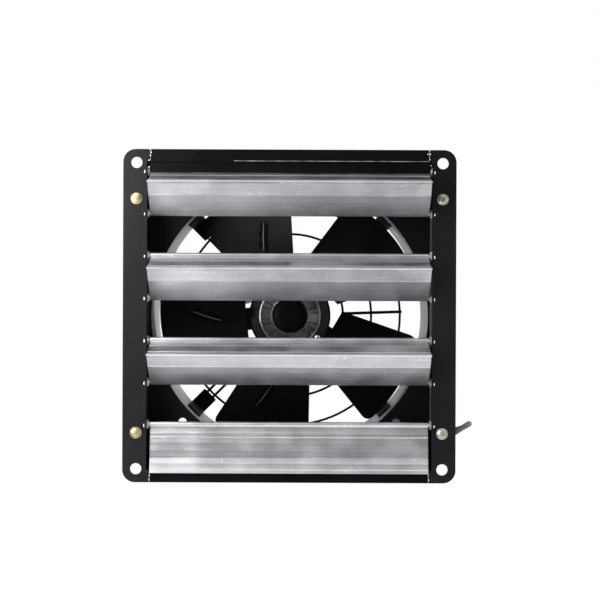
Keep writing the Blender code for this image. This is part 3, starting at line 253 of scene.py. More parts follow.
# %% [markdown]
# ## Materials
#
# Coated steel, mill-finish aluminium and moulded plastic all show the same kinds of unevenness:
# slow clouds, fine grain and a few bright or dark specks. One shader group makes all of these as
# masks, from the piece's own Object coordinates, and every material places it with its own values.
# A second group draws the fine lines that an extrusion die or a rolling mill leaves in metal, and a
# third one the smears that water leaves on it.

# %% Shader groups
def add_node(tree, kind, inputs, **settings):
    """Adds a node with its settings, and gives each input a link from a socket or a plain value."""
    node = tree.nodes.new(kind)
    for name, value in settings.items():
        setattr(node, name, value)
    for socket, value in inputs.items():
        if isinstance(value, bpy.types.NodeSocket):
            tree.links.new(value, node.inputs[socket])
        else:
            node.inputs[socket].default_value = value
    return node


def maths(tree, operation, *values):
    return add_node(tree, "ShaderNodeMath", dict(enumerate(values)), operation=operation).outputs[0]


def stretched(tree, place, factor):
    return add_node(tree, "ShaderNodeVectorMath", {0: place, 1: factor}, operation="MULTIPLY").outputs[0]


def noise(tree, place, scale, detail, roughness=0.55):
    inputs = {"Vector": place, "Scale": scale, "Detail": detail, "Roughness": roughness}
    return add_node(tree, "ShaderNodeTexNoise", inputs).outputs["Fac"]


def step_between(tree, value, low, high, out_low=0.0, out_high=1.0, blend="SMOOTHSTEP"):
    inputs = {"Value": value, "From Min": low, "From Max": high, "To Min": out_low, "To Max": out_high}
    return add_node(tree, "ShaderNodeMapRange", inputs, interpolation_type=blend).outputs["Result"]


def shader_group(name, inputs, outputs):
    """A group whose float inputs are given by a float, and its vectors by a tuple or None."""
    tree = bpy.data.node_groups.new(name, "ShaderNodeTree")
    for socket, value in inputs.items():
        kind = "NodeSocketFloat" if isinstance(value, float) else "NodeSocketVector"
        made = tree.interface.new_socket(name=socket, in_out="INPUT", socket_type=kind)
        if value is not None:
            made.default_value = value
    for socket in outputs:
        tree.interface.new_socket(name=socket, in_out="OUTPUT", socket_type="NodeSocketFloat")
    return tree, tree.nodes.new("NodeGroupInput").outputs


def unevenness_group():
    tree, given = shader_group("surface_unevenness", {
        "Place": None, "Cloud Scale": 14.0, "Grain Scale": 900.0, "Speck Scale": 260.0},
        ["Cloud", "Grain", "Speck"])
    cloud, grain, speck = (noise(tree, given["Place"], given[scale], *shape) for scale, shape in
                           (("Cloud Scale", (4,)), ("Grain Scale", (2,)), ("Speck Scale", (2, 0.7))))
    add_node(tree, "NodeGroupOutput", {"Cloud": step_between(tree, cloud, 0.35, 0.65), "Grain": grain,
                                       "Speck": step_between(tree, speck, 0.70, 0.76)})
    return tree


def drawn_lines_group():
    tree, given = shader_group("drawn_lines", {
        "Place": None, "Line Scale": 1.0, "Stretch": (4.0, 700.0, 700.0)}, ["Line", "Fine Line"])
    place = stretched(tree, given["Place"], given["Stretch"])
    line = noise(tree, place, given["Line Scale"], 2)
    finer = add_node(tree, "ShaderNodeVectorMath", {0: place, "Scale": 4.0}, operation="SCALE").outputs[0]
    add_node(tree, "NodeGroupOutput", {"Line": step_between(tree, line, 0.3, 0.7),
                                       "Fine Line": noise(tree, finer, given["Line Scale"], 1)})
    return tree


def smears_group():
    """Chalky marks that water leaves on bare aluminium: ragged patches made of small dots."""
    tree, given = shader_group("dried_smears", {
        "Place": None, "Patch Stretch": (22.0, 90.0, 90.0), "Dot Scale": 480.0}, ["Smear"])
    patch = noise(tree, stretched(tree, given["Place"], given["Patch Stretch"]), 1.0, 4, 0.6)
    dots = noise(tree, given["Place"], given["Dot Scale"], 3, 0.6)
    add_node(tree, "NodeGroupOutput", {"Smear": maths(
        tree, "MULTIPLY", step_between(tree, patch, 0.53, 0.66), step_between(tree, dots, 0.50, 0.60))})
    return tree


UNEVENNESS, SMEARS, DRAWN_LINES = unevenness_group(), smears_group(), drawn_lines_group()
print("shader groups:", UNEVENNESS.name, DRAWN_LINES.name, SMEARS.name)

# %% [markdown]
# A finish is a Principled shader whose colour, roughness and bump come from those masks. The colour
# runs between two tones with the cloud, specks are laid over it, and metals add the drawn lines. The
# louvres also get the smears.

# %% One function for all finishes
def put_group(tree, group, **values):
    inputs = {socket.replace("_", " "): value for socket, value in values.items()}
    return add_node(tree, "ShaderNodeGroup", inputs, node_tree=group).outputs


def mixed(tree, factor, low, high, blend="MIX"):
    """Mixes two colours. Each is a socket, a tuple, or one number for a grey."""
    def tone(value):
        if isinstance(value, (int, float)):
            value = (value, value, value)
        return (*value, 1) if isinstance(value, tuple) else value
    inputs = {"Factor": factor, 6: tone(low), 7: tone(high)}
    return add_node(tree, "ShaderNodeMix", inputs, data_type="RGBA", blend_type=blend).outputs[2]


def finish(name, dark, light, roughness=(0.4, 0.5), metallic=0.0, specular=0.5, speck=None, grain=0.0,
           cloud_scale=14.0, grain_scale=900.0, speck_scale=260.0, lines=None, line_bump=0.0, smear=None):
    """Builds one material. Tones are linear colours; the bumps of grain and lines are in mm."""
    material = bpy.data.materials.new(name)
    material.use_nodes = True
    tree = material.node_tree
    shader = tree.nodes["Principled BSDF"].inputs
    shader["Metallic"].default_value, shader["Specular IOR Level"].default_value = metallic, specular
    place = tree.nodes.new("ShaderNodeTexCoord").outputs["Object"]
    uneven = put_group(tree, UNEVENNESS, Place=place, Cloud_Scale=cloud_scale, Grain_Scale=grain_scale,
                       Speck_Scale=speck_scale)
    colour = mixed(tree, uneven["Cloud"], dark, light)
    height = maths(tree, "MULTIPLY_ADD", uneven["Grain"], grain * MM, 0.0)
    if lines:
        drawn = put_group(tree, DRAWN_LINES, Place=place, Stretch=lines)
        colour = mixed(tree, 1.0, colour, mixed(tree, drawn["Line"], 0.88, 1), "MULTIPLY")
        height = maths(tree, "ADD", height, maths(tree, "MULTIPLY_ADD", drawn["Fine Line"], line_bump * MM, 0.0))
    if speck:
        colour = mixed(tree, uneven["Speck"], colour, speck)
    if smear:
        colour = mixed(tree, put_group(tree, SMEARS, Place=place)["Smear"], colour, smear)
    tree.links.new(colour, shader["Base Color"])
    low, high = roughness
    tree.links.new(maths(tree, "MULTIPLY_ADD", uneven["Cloud"], high - low, low), shader["Roughness"])
    bump = add_node(tree, "ShaderNodeBump", {"Distance": 1.0, "Height": height})
    tree.links.new(bump.outputs["Normal"], shader["Normal"])
    return material


BLACK_COAT = finish("black_coat", (0.004, 0.004, 0.005), (0.006, 0.006, 0.007), (0.34, 0.40), specular=0.22,
                    speck=0.02, grain=0.004, cloud_scale=9, speck_scale=420)
# The black coat made darker and duller for the parts deep in the box: the orifice plate, guard, brackets and motor
# ears. This darkness is painted shade.
DEEP_BLACK = finish("deep_black", (0.003, 0.003, 0.0035), (0.005, 0.005, 0.0055), (0.5, 0.62), specular=0.08,
                    speck=0.012, grain=0.006, speck_scale=420)
# Near-black for the blade ribs' flanks: painted shade.
RIB_SHADE = finish("rib_shade", 0.0008, 0.0014, (0.6, 0.7), specular=0.01, speck=0.003, grain=0.004)
# The black coat made darker still, as painted shade on the rails and on the left bush strip. The hub's flange, arms
# and cap take it too.
RAIL_BLACK = finish("rail_black", (0.0012, 0.0012, 0.0013), (0.0024, 0.0024, 0.0026), (0.5, 0.62),
                    specular=0.05, speck=0.010, grain=0.006, speck_scale=420)
LOUVRE_METAL = finish("louvre_aluminium", (0.60, 0.605, 0.625), (0.70, 0.705, 0.725), (0.31, 0.37),
                      metallic=1.0, speck=(0.95, 0.95, 0.96), grain=0.0008, lines=(3.0, 500.0, 500.0),
                      line_bump=0.0003, cloud_scale=30, speck_scale=420, smear=(0.84, 0.84, 0.85))
RING_METAL = finish("ring_zinc", (0.50, 0.50, 0.51), (0.60, 0.60, 0.61), (0.42, 0.52), metallic=0.9,
                    speck=0.5, grain=0.006, lines=(60.0, 600.0, 60.0), line_bump=0.006, cloud_scale=20)
BLADE_BLACK = finish("blade_black", (0.0018, 0.0018, 0.002), (0.004, 0.004, 0.0045), (0.36, 0.44),
                     specular=0.05, speck=0.02, grain=0.004, speck_scale=500)
HUB_GREY = finish("hub_grey", (0.20, 0.20, 0.205), (0.26, 0.26, 0.265), (0.25, 0.31), metallic=0.9,
                  speck=0.3, grain=0.003)
YELLOW_ZINC = finish("yellow_zinc", (0.44, 0.34, 0.17), (0.58, 0.48, 0.29), (0.30, 0.40), metallic=0.9,
                     speck=(0.5, 0.36, 0.14), grain=0.003, cloud_scale=160)
OLIVE_ZINC = finish("olive_zinc", (0.30, 0.32, 0.19), (0.42, 0.44, 0.30), (0.34, 0.44), metallic=0.8,
                    speck=(0.4, 0.4, 0.3), grain=0.003, cloud_scale=160)
BRIGHT_STEEL = finish("bright_steel", 0.60, 0.78, (0.24, 0.36), metallic=1.0, speck=0.4, grain=0.003,
                      cloud_scale=120)
# A pale metal finish that paints the highlight along the top rail's bend.
BEND_HIGHLIGHT = finish("bare_edge", 0.10, 0.40, metallic=0.6, speck=0.02, grain=0.003, cloud_scale=60)
WHITE_NYLON = finish("white_nylon", (0.70, 0.70, 0.68), (0.82, 0.82, 0.80), (0.42, 0.55), grain=0.004)
# Dark grey for the right bush strip: painted shade on its nylon.
STRIP_GREY = finish("strip_grey", (0.05, 0.05, 0.052), (0.09, 0.09, 0.092), specular=0.4, speck=0.14,
                    grain=0.006, cloud_scale=60)
# The bushes' nylon greyed: painted shade.
SHADED_NYLON = finish("grey_nylon", (0.20, 0.20, 0.21), (0.30, 0.30, 0.31), (0.45, 0.6), grain=0.004)
# A greyish black: on the blade ribs' crests it paints a highlight, and it also makes the cap's thin rim.
GREYISH_BLACK = finish("rubbed_black", (0.03, 0.03, 0.031), (0.07, 0.07, 0.072), (0.34, 0.44), specular=0.3,
                      speck=0.10, grain=0.004, cloud_scale=60)
LAMINATIONS = finish("laminations", (0.12, 0.12, 0.13), (0.22, 0.22, 0.23), (0.4, 0.55), metallic=0.8,
                     lines=(6.0, 2500.0, 6.0), line_bump=0.05)
COPPER = finish("copper", (0.45, 0.16, 0.06), (0.65, 0.28, 0.12), (0.25, 0.4), metallic=0.9, grain=0.02,
                lines=(900.0, 60.0, 900.0), line_bump=0.05)
BLACK_PLASTIC = finish("black_plastic", (0.004, 0.004, 0.0045), (0.008, 0.008, 0.009), (0.30, 0.42),
                       specular=0.4, speck=0.02, grain=0.01, grain_scale=1500)
CORD_RUBBER = finish("cord_rubber", (0.080, 0.080, 0.082), (0.12, 0.12, 0.124), (0.5, 0.62), speck=0.1,
                     grain=0.012, grain_scale=1800)
PALE_PLASTIC = finish("pale_plastic", (0.60, 0.59, 0.55), (0.70, 0.69, 0.65), (0.42, 0.55),
                      speck=(0.45, 0.44, 0.4), grain=0.006)
print("materials:", len([m for m in bpy.data.materials if m.use_nodes]))

# %% [markdown]
# ## Light, backdrop and floor
#
# The photograph is a white cut-out lit softly from the left, where a large lamp and a small near one
# stand: the near one brightens the louvres' left ends. The world is white where the camera or a clear
# surface looks at it. For the light that it sheds it is dim ahead of the fan, so that black coats stay
# black, brighter at the sides and behind, and brightest above. The floor lies well below the fan,
# which hangs in its wall opening.

# %% Light the studio
ROOM_AROUND, ROOM_AHEAD, ROOM_ABOVE = 0.48, 0.22, 0.95


def white_outside():
    bpy.context.scene.view_settings.view_transform = "Standard"
    world = bpy.data.worlds.new("studio")
    bpy.context.scene.world = world
    world.use_nodes = True
    tree = world.node_tree
    path = tree.nodes.new("ShaderNodeLightPath").outputs
    way = tree.nodes.new("ShaderNodeTexCoord").outputs["Generated"]
    split = add_node(tree, "ShaderNodeSeparateXYZ", {0: way}).outputs
    strength = maths(tree, "MAXIMUM", path["Is Camera Ray"], path["Is Transmission Ray"])
    for axis, *span in (("Y", -1.0, -0.7, ROOM_AHEAD, ROOM_AROUND), ("Z", 0.2, 0.7, 0.0, ROOM_ABOVE)):
        strength = maths(tree, "MAXIMUM", strength, step_between(tree, split[axis], *span, "LINEAR"))
    background = tree.nodes["Background"].inputs
    tree.links.new(strength, background["Strength"])
    background["Color"].default_value = (1, 1, 1, 1)


def soft_lamp(name, place, target, width, height, power):
    data = bpy.data.lights.new(name, "AREA")
    data.shape = "RECTANGLE"
    data.size, data.size_y, data.energy = width, height, power
    lamp = bpy.data.objects.new(name, data)
    aim = (Vector(target) - Vector(place)).to_track_quat("-Z", "Y").to_matrix().to_4x4()
    lamp.matrix_world = Matrix.Translation(place) @ aim
    bpy.context.collection.objects.link(lamp)


def white_floor(height, half):
    bm = bmesh.new()
    bmesh.ops.create_grid(bm, x_segments=2, y_segments=2, size=half)
    bmesh.ops.translate(bm, verts=bm.verts[:], vec=(0, 0, height))
    material = bpy.data.materials.new("floor_white")
    material.use_nodes = True
    tree = material.node_tree
    shader = tree.nodes["Principled BSDF"].inputs
    shader["Roughness"].default_value = 0.9
    place = tree.nodes.new("ShaderNodeTexCoord").outputs["Object"]
    uneven = put_group(tree, UNEVENNESS, Place=place, Cloud_Scale=2.0)
    tree.links.new(mixed(tree, uneven["Cloud"], 0.80, 0.84), shader["Base Color"])
    path = tree.nodes.new("ShaderNodeLightPath").outputs
    tree.links.new(path["Is Camera Ray"], shader["Emission Strength"])
    shader["Emission Color"].default_value = (0.88, 0.88, 0.88, 1)
    from_bmesh("floor", bm, material)


white_outside()
soft_lamp("lamp_left", (-1.5, -1.5, 0.7), (0, 0, 0), 2.2, 2.2, 11)
soft_lamp("lamp_near_left", (-0.40, -0.225, 0.17), (-0.10, 0, 0.07), 0.28, 0.6, 6.5)
soft_lamp("lamp_low", (0.1, -0.7, -0.85), (0, 0, 0), 1.6, 1.0, 5)
soft_lamp("lamp_right", (0.9, -0.6, 0.1), (0.1, 0, 0), 0.4, 0.9, 1.5)
soft_lamp("lamp_back", (1.7, 1.5, 0.4), (0, 0.1, 0), 1.4, 1.0, 14)
white_floor(-0.9, 4)
print("lamps:", len(bpy.data.lights))

# %% [markdown]
# ## The supply cord
#
# The cord leaves the terminal box behind the motor, passes a clip on the guard, swings forward past
# the right flange, where the photograph shows it, and goes back to a coil behind the fan. It is one
# Bezier curve through the route's points, so that it bends smoothly and keeps its real length. The
# spare length is in the coil, which a tie holds.

# %% The cord's route
CORD_DIAMETER = 6 * MM
CORD_ANGLE = radians(-45)
BOX_MIDDLE = 173.3
CORD_ROUTE = (
    (42.4, 168.5, -42.4), (55.2, 156.5, -55.2), (67.9, 142.5, -67.9), (80.6, 132.8, -80.6),
    (94, 129.7, -94), (106, 129.2, -105.8), (118.2, 125, -113.8), (132, 115.5, -119.7),
    (145, 101, -126), (155.5, 83.5, -133), (162, 66, -139), (166.8, 49.5, -141.5), (174.2, 36, -138.8),
    (184.8, 29.4, -132.6), (196.6, 33, -125.4), (204.6, 45.5, -122.2), (205.4, 59.5, -124.4),
    (200.4, 72, -128.6), (192.2, 84, -132.2), (183, 95, -133), (174, 106, -130.8), (166.6, 117.5, -130),
    (162.1, 126.5, -135.3), (160.7, 130.7, -143.3))
COIL_CENTRE = (124, -157)
COIL_FRONT, COIL_RADIUS, COIL_PITCH = 128, 30, 6.6
COIL_TURNS, COIL_TAIL = 7.25, 29


def even_path(points, spacing):
    """The same smooth line as the solids follow, cut into equal steps."""
    fine = []
    for i in range(len(points) - 1):
        before, start = points[max(i - 1, 0)], points[i]
        end, after = points[i + 1], points[min(i + 2, len(points) - 1)]
        reach = (end - start).length / 3
        leave, arrive = (end - before).normalized() * reach, (after - start).normalized() * reach
        fine += interpolate_bezier(start, start + leave, end - arrive, end, 24)[:-1]
    fine.append(points[-1])
    lengths = [(b - a).length for a, b in zip(fine, fine[1:])]
    pieces = max(2, round(sum(lengths) / spacing))
    step = sum(lengths) / pieces
    even, walked, target = [fine[0]], 0, step
    for a, b, length in zip(fine, fine[1:], lengths):
        while target < walked + length and len(even) < pieces:
            even.append(a.lerp(b, (target - walked) / length))
            target += step
        walked += length
    return even + [fine[-1]]


def coil_points(per_turn=24):
    """Four layers of two turns, each climbing to the next in half a turn."""
    points = []
    for number in range(round(COIL_TURNS * per_turn) + 1):
        turn = number / per_turn
        inward = min(turn % 4, 4 - turn % 4)
        radius = COIL_RADIUS + COIL_PITCH * (1 - inward)
        layer = 0
        for climb in (1, 2, 3):
            share = min(1, max(0, (turn - climb * 2) / 0.5 + 0.5))
            layer += share * share * (3 - 2 * share)
        depth = COIL_FRONT + 3 + COIL_PITCH * layer
        angle = -2 * pi * turn
        points.append(Vector((COIL_CENTRE[0] + radius * cos(angle), depth,
                              COIL_CENTRE[1] + radius * sin(angle))))
    points.insert(0, points[0] + Vector((0, 0, 6)))
    points.append(points[-1] + Vector((-COIL_TAIL, 0, 0)))
    return points


def cord_line():
    outward = Vector((cos(CORD_ANGLE), 0, sin(CORD_ANGLE)))
    start = outward * 38.9 + Vector((0, BOX_MIDDLE, 0))
    coil = coil_points()
    route = [start, start + outward * 6] + [Vector(point) for point in CORD_ROUTE]
    free = even_path(route + [coil[0] + Vector((0, 0, 0.3))], 9.6)
    return free, coil


FREE_LINE, COIL_LINE = cord_line()
print("cord points:", len(FREE_LINE), "free,", len(COIL_LINE), "in the coil")

# %% Make the cord as one curve
def cord_curve(name, points, diameter, material):
    curve = round_curve(name, diameter)
    curve.resolution_u = 3
    spline = curve.splines.new("BEZIER")
    spline.bezier_points.add(len(points) - 1)
    for knot, place in zip(spline.bezier_points, points):
        knot.co = place * MM
        knot.handle_left_type = knot.handle_right_type = "AUTO"
    return add_object(name, curve, material)


cord_points = FREE_LINE + COIL_LINE
cord = cord_curve("supply_cord", cord_points, CORD_DIAMETER, CORD_RUBBER)
ride(cord, "frame", "black_rubber", "power_cord", "cord_coil")

# %% [markdown]
# The gland is the tapered strain relief: a hexagonal nut, ribs that let it bend, and a soft taper
# down to the cord. It is spun from one profile and turned to the cord's direction.

# %% Cable gland, plug and tie
def cable_gland():
    start, nut_end, end, ribs = 16.3, 22.3, 38.3, 5
    profile = [(3.2, start), (6.0, start), (6.4, start + 0.6), (6.4, nut_end), (5.7, nut_end + 0.4)]
    width = (end - nut_end - 1) / ribs
    for rib in range(ribs):
        here, outer = nut_end + 1 + width * rib, 5.6 - 1.3 * rib / ribs
        profile += [(outer, here), (outer - 0.15, here + width * 0.55), (outer - 0.9, here + width * 0.65),
                    (outer - 0.95, here + width * 0.9)]
    profile += [(3.9, end - 0.4), (3.3, end), (3.2, end)]
    nut = slab("nut", disc_outline(8.0, sides=6), "Y", start + 0.2, nut_end - 0.8)
    gland = joined("gland", [spun_part("relief", profile, 32), nut], BLACK_PLASTIC, 35)
    return moved(gland, around_y(CORD_ANGLE) @ at(0, BOX_MIDDLE, 0) @ Matrix.Rotation(-pi / 2, 4, "Z"))


def plug():
    """Two-pin plug: a rounded shell, a ribbed strain relief and round pins with insulated roots."""
    end = COIL_LINE[-1]
    lie = Matrix.Translation(end * MM) @ Matrix.Rotation(pi / 2, 4, "Z")
    shell = slab("shell", box_outline(end.x - 40.3, end.x - 12.3, end.y - 12, end.y + 12), "Z",
                 end.z - 6.5, end.z + 6.5)
    relief = [(3.2, 0.3), (4.2, 0.3), (4.3, 3), (3.7, 3.2), (3.7, 4), (4.7, 4.2), (4.8, 7), (4.1, 7.2),
              (4.1, 8), (5.2, 8.2), (5.5, 12.8), (3.2, 12.8)]
    pin = [(0, -1), (2.3, -1), (2.3, 8), (2.0, 8.1), (2.0, 18), (1.6, 19), (0, 19)]
    parts = [softened(shell, 3.2, BLACK_PLASTIC, 4), moved(spun_part("relief", relief, 24), lie)]
    parts += [moved(spun_part("pin", pin, 20), lie @ at(side, 40, 0)) for side in (-9, 9)]
    return joined("plug", parts, BLACK_PLASTIC, 35)


def tie():
    """Flat strap round the bundle, with its ratchet head on the outside."""
    turn = at(COIL_CENTRE[0], 0, COIL_CENTRE[1]) @ around_y(radians(135))
    inner, outer, front, back = 20.1, 39.9, 127.7, 154.1
    centre = Vector(((inner + outer) / 2, (front + back) / 2))
    path = []
    for index, (x, y) in enumerate(box_outline(inner, outer, front, back)):
        across, along = copysign(3, centre.x - x), copysign(3, centre.y - y)
        for angle in (radians((180, 270, 0, 90)[index] + 90 * step / 4) for step in range(5)):
            path.append(Vector((x + across + 3 * cos(angle), y + along + 3 * sin(angle))))
    bm = bmesh.new()
    rows = []
    for z in (-1.8, 1.8):
        for thick in (0.0, 1.0):
            line = [spot + (spot - centre).normalized() * thick for spot in path]
            rows.append([bm.verts.new(turn @ (Vector((*spot, z)) * MM)) for spot in line])
    for i in range(len(path)):
        for a, b in ((0, 1), (1, 3), (3, 2), (2, 0)):
            bm.faces.new((rows[a][i - 1], rows[a][i], rows[b][i], rows[b][i - 1]))
    head = turn @ at(outer + 0.4, 141, 0)
    bmesh.ops.create_cube(bm, size=1, matrix=head @ Matrix.Diagonal(Vector((1.4, 6, 5.4, 1000)) * MM))
    return from_bmesh("tie", bm, BLACK_PLASTIC)


gland, plug_piece, tie_piece = cable_gland(), plug(), tie()
ride(gland, "frame", "black_plastic", "cable_gland")
ride(plug_piece, "frame", "black_plastic", "plug_body")
ride(tie_piece, "frame", "black_plastic", "cord_tie")
print("cord's pieces:", gland.name, plug_piece.name, tie_piece.name)

# %% [markdown]
# ## The shutter box
#
# The box is bent from black-coated sheet: two side channels whose wide ends carry the corner holes,
# a top and a bottom rail, and the orifice plate at the back. A plain prism has knife edges. Here each
# sheet is cut with Booleans, so that its holes are round, and then gets a small bevel, because it is
# the bright line along a rounded edge that makes sheet metal look like metal.

# %% Side channels
HALF_WIDTH, OPENING_HALF, INNER_HALF = 185, 160, 158.5
OPENING_HIGH, SHEET, WALL_END = 172.3, 1.5, 38.2
PIVOTS = [161.1 - 47 * number for number in range(7)]
HOLE_HALF, SCREW_HALF, PLATE_HOLE_HALF = 170, 130, 121
PIVOT_DEPTH, BUSH_SEAT = 5, 158.2


def rounded(profile, radius, steps=3):
    """Rounds the corners of a closed profile, each by the given radius or by what fits."""
    result = []
    count = len(profile)
    for index in range(count):
        here, before, after = (Vector(profile[i % count]) for i in (index, index - 1, index + 1))
        back, ahead = before - here, after - here
        reach = min(radius, back.length * 0.45, ahead.length * 0.45)
        start, end = here + back.normalized() * reach, here + ahead.normalized() * reach
        for t in (step / steps for step in range(steps + 1)):
            result.append(tuple(start.lerp(here, t).lerp(here.lerp(end, t), t)))
    return result


def side_channel(side):
    """The sheet with its corner holes, screw holes and pivot holes, and its two clinch nuts."""
    corner = [(171 + 14 * cos(a), 171 + 14 * sin(a)) for a in turns(40)[:11]]
    upper = corner + [(155, 185), (155, OPENING_HIGH), (INNER_HALF, OPENING_HIGH)]
    outline = [(side * x, z) for x, z in upper + [(x, -z) for x, z in reversed(upper)]]
    name = "side_channel_right" if side > 0 else "side_channel_left"
    wall = slab("wall", box_outline(side * INNER_HALF, side * OPENING_HALF, -OPENING_HIGH, OPENING_HIGH),
                "Y", -SHEET, WALL_END)
    channel = combine(slab(name, outline, "Y", -SHEET, 0), [wall], "UNION")
    cutters = [slab("hole", disc_outline(radius, (side * HOLE_HALF, z)), "Y", -9, 9)
               for radius, half in ((6.25, HOLE_HALF), (2.8, SCREW_HALF)) for z in (-half, half)]
    cutters += [slab("hole", disc_outline(3.7, (PIVOT_DEPTH, z), 20), "X", side * 150, side * 168) for z in PIVOTS]
    channel = softened(combine(channel, cutters), 0.4, BLACK_COAT)
    nut = rounded([(2.8, 0.1), (4.6, 0.1), (4.6, 3.4), (4.0, 4.0), (2.8, 4.0)], 0.5)
    nuts = [moved(spun_part("nut", nut, 24), at(side * HOLE_HALF, 0, z)) for z in (-SCREW_HALF, SCREW_HALF)]
    return joined(name, [channel, *nuts], BLACK_COAT)


ride(side_channel(-1), "frame", "black_coat", "frame_left")
ride(side_channel(1), "frame", "black_coat", "frame_right")
print("side channels:", 2)

# %% [markdown]
# The top rail has a second, recessed lip that covers the first louvre's pivot. The rails end in small
# tongues behind the corner plates, so a fine seam shows where they meet. Specks of bright steel on these
# seams are a painted highlight: they give the white dots in the corners. A thin bright strip along the top
# rail's bend is a painted highlight too, and the rails' darker black is painted shade.

# %% Rails and orifice plate
def rail(side):
    inner, bend = side * (OPENING_HIGH - SHEET), side * OPENING_HIGH
    wall = slab("rail_top" if side > 0 else "rail_bottom", box_outline(-158.2, 158.2, inner, bend), "Y",
                -SHEET, WALL_END)
    others = [slab("flange", box_outline(-154.7, 154.7, inner, side * HALF_WIDTH), "Y", -SHEET, 0)]
    if side > 0:
        others.append(slab("lip", box_outline(-155.7, 155.7, 159.2, 171.6), "Y", 0, SHEET))
    # The rails take the darker rail black: painted shade on the same coat as the side channels.
    return softened(combine(wall, others, "UNION"), 0.4, RAIL_BLACK)


def worn_bend():
    """A painted highlight along the top rail's outer bend, over its right two thirds: a thin bright line."""
    line = slab("worn_bend", box_outline(-1.62, -1.38, OPENING_HIGH - 0.55, OPENING_HIGH + 0.15), "X", -62, 154)
    return softened(line, 0.1, BEND_HIGHLIGHT)


def orifice_plate():
    plate = slab("back_plate", box_outline(-160, 160, -OPENING_HIGH, OPENING_HIGH), "Y", 38.5, 40)
    cutters = [slab("hole", disc_outline(157, sides=128), "Y", 30, 50)]
    cutters += [slab("hole", disc_outline(4.75, (x, z), 24), "Y", 30, 50)
                for x in (-PLATE_HOLE_HALF, PLATE_HOLE_HALF) for z in (-PLATE_HOLE_HALF, PLATE_HOLE_HALF)]
    # The plate takes the darker black: painted shade for the inside of the box.
    return softened(combine(plate, cutters), 0.3, DEEP_BLACK)


ride(rail(1), "frame", "black_coat", "frame_top")
ride(rail(-1), "frame", "black_coat", "frame_bottom")
ride(worn_bend(), "frame", "black_coat")
ride(orifice_plate(), "frame", "black_coat", "orifice_plate")
print("rails and orifice plate:", 3)

# %% [markdown]
# ## Repeats with Geometry Nodes
#
# Screws, bushes, rivets and chips repeat. One tree sets a small part on every point of a mesh and
# turns it by the point's stored angles. Its inputs have names, and a modifier's values are set by
# each socket's identifier. The tree realises its instances and sets the material, so that one
# plain mesh comes out.

# %% The tree that repeats a part on points
def geometry_tree(name, output, **inputs):
    """An empty tree with named sockets, each with the kind that it is given."""
    tree = bpy.data.node_groups.new(name, "GeometryNodeTree")
    for socket, kind in inputs.items():
        tree.interface.new_socket(name=socket.replace("_", " "), in_out="INPUT",
                                  socket_type="NodeSocket" + kind)
    tree.interface.new_socket(name=output, in_out="OUTPUT", socket_type="NodeSocketGeometry")
    return tree, tree.nodes.new("NodeGroupInput").outputs


def coated(tree, shape, material):
    """Ends a tree: the instances become real and get their finish."""
    solid = add_node(tree, "GeometryNodeRealizeInstances", {"Geometry": shape}).outputs["Geometry"]
    coat = add_node(tree, "GeometryNodeSetMaterial", {"Geometry": solid, "Material": material})
    add_node(tree, "NodeGroupOutput", {0: coat.outputs["Geometry"]})
    return tree


def repeat_tree():
    tree, given = geometry_tree("part_on_points", "Result", Points="Geometry", Part="Object", Finish="Material")
    points = add_node(tree, "GeometryNodeMeshToPoints", {"Mesh": given["Points"]}).outputs["Points"]
    part = add_node(tree, "GeometryNodeObjectInfo", {"Object": given["Part"]}).outputs["Geometry"]
    turn = add_node(tree, "GeometryNodeInputNamedAttribute", {"Name": "turn"}, data_type="FLOAT_VECTOR")
    copies = add_node(tree, "GeometryNodeInstanceOnPoints", {
        "Points": points, "Instance": part, "Rotation": turn.outputs["Attribute"]})
    return coated(tree, copies.outputs["Instances"], given["Finish"])


PART_ON_POINTS = repeat_tree()


def run_tree(piece, tree, smooth, **values):
    """Puts a tree on a piece with values for its inputs, and leaves the plain mesh that comes out."""
    step = piece.modifiers.new("tree", "NODES")
    step.node_group = tree
    for item in tree.interface.items_tree:
        if item.in_out == "INPUT" and item.name.replace(" ", "_") in values:
            step[item.identifier] = values[item.name.replace(" ", "_")]
    return frozen(piece, smooth)


def repeated(name, part, places, material):
    """One mesh with a copy of the part at every given matrix."""
    mesh = bpy.data.meshes.new(name)
    mesh.from_pydata([tuple(place.translation) for place in places], [], [])
    turned = mesh.attributes.new("turn", "FLOAT_VECTOR", "POINT")
    for index, place in enumerate(places):
        turned.data[index].vector = tuple(place.to_euler("XYZ"))
    result = run_tree(add_object(name, mesh), PART_ON_POINTS, 35, Part=part, Finish=material)
    bpy.data.objects.remove(part)
    return result


print("repeat tree:", PART_ON_POINTS.name)

# %% [markdown]
# The flange screws have a domed head, a cross recess and a captive washer. The two on the left are
# yellow-plated, and the two on the right are plain zinc with an olive dome inside the washer.

# %% Flange screws
def with_recess(head):
    """Cuts the cross recess into a screw's head."""
    bar = box_outline(-2.4, 2.4, -0.55, 0.55)
    return combine(head, copies_round(lambda: slab("recess", bar, "Y", -7, -4.1), turns(4, 0.5)[:2]))


def screws(name, profile, sides, side, material):
    places = [at(side * HOLE_HALF, 0, z) for z in (SCREW_HALF, -SCREW_HALF)]
    return repeated(name, with_recess(spun_part("screw", profile, sides)), places, material)


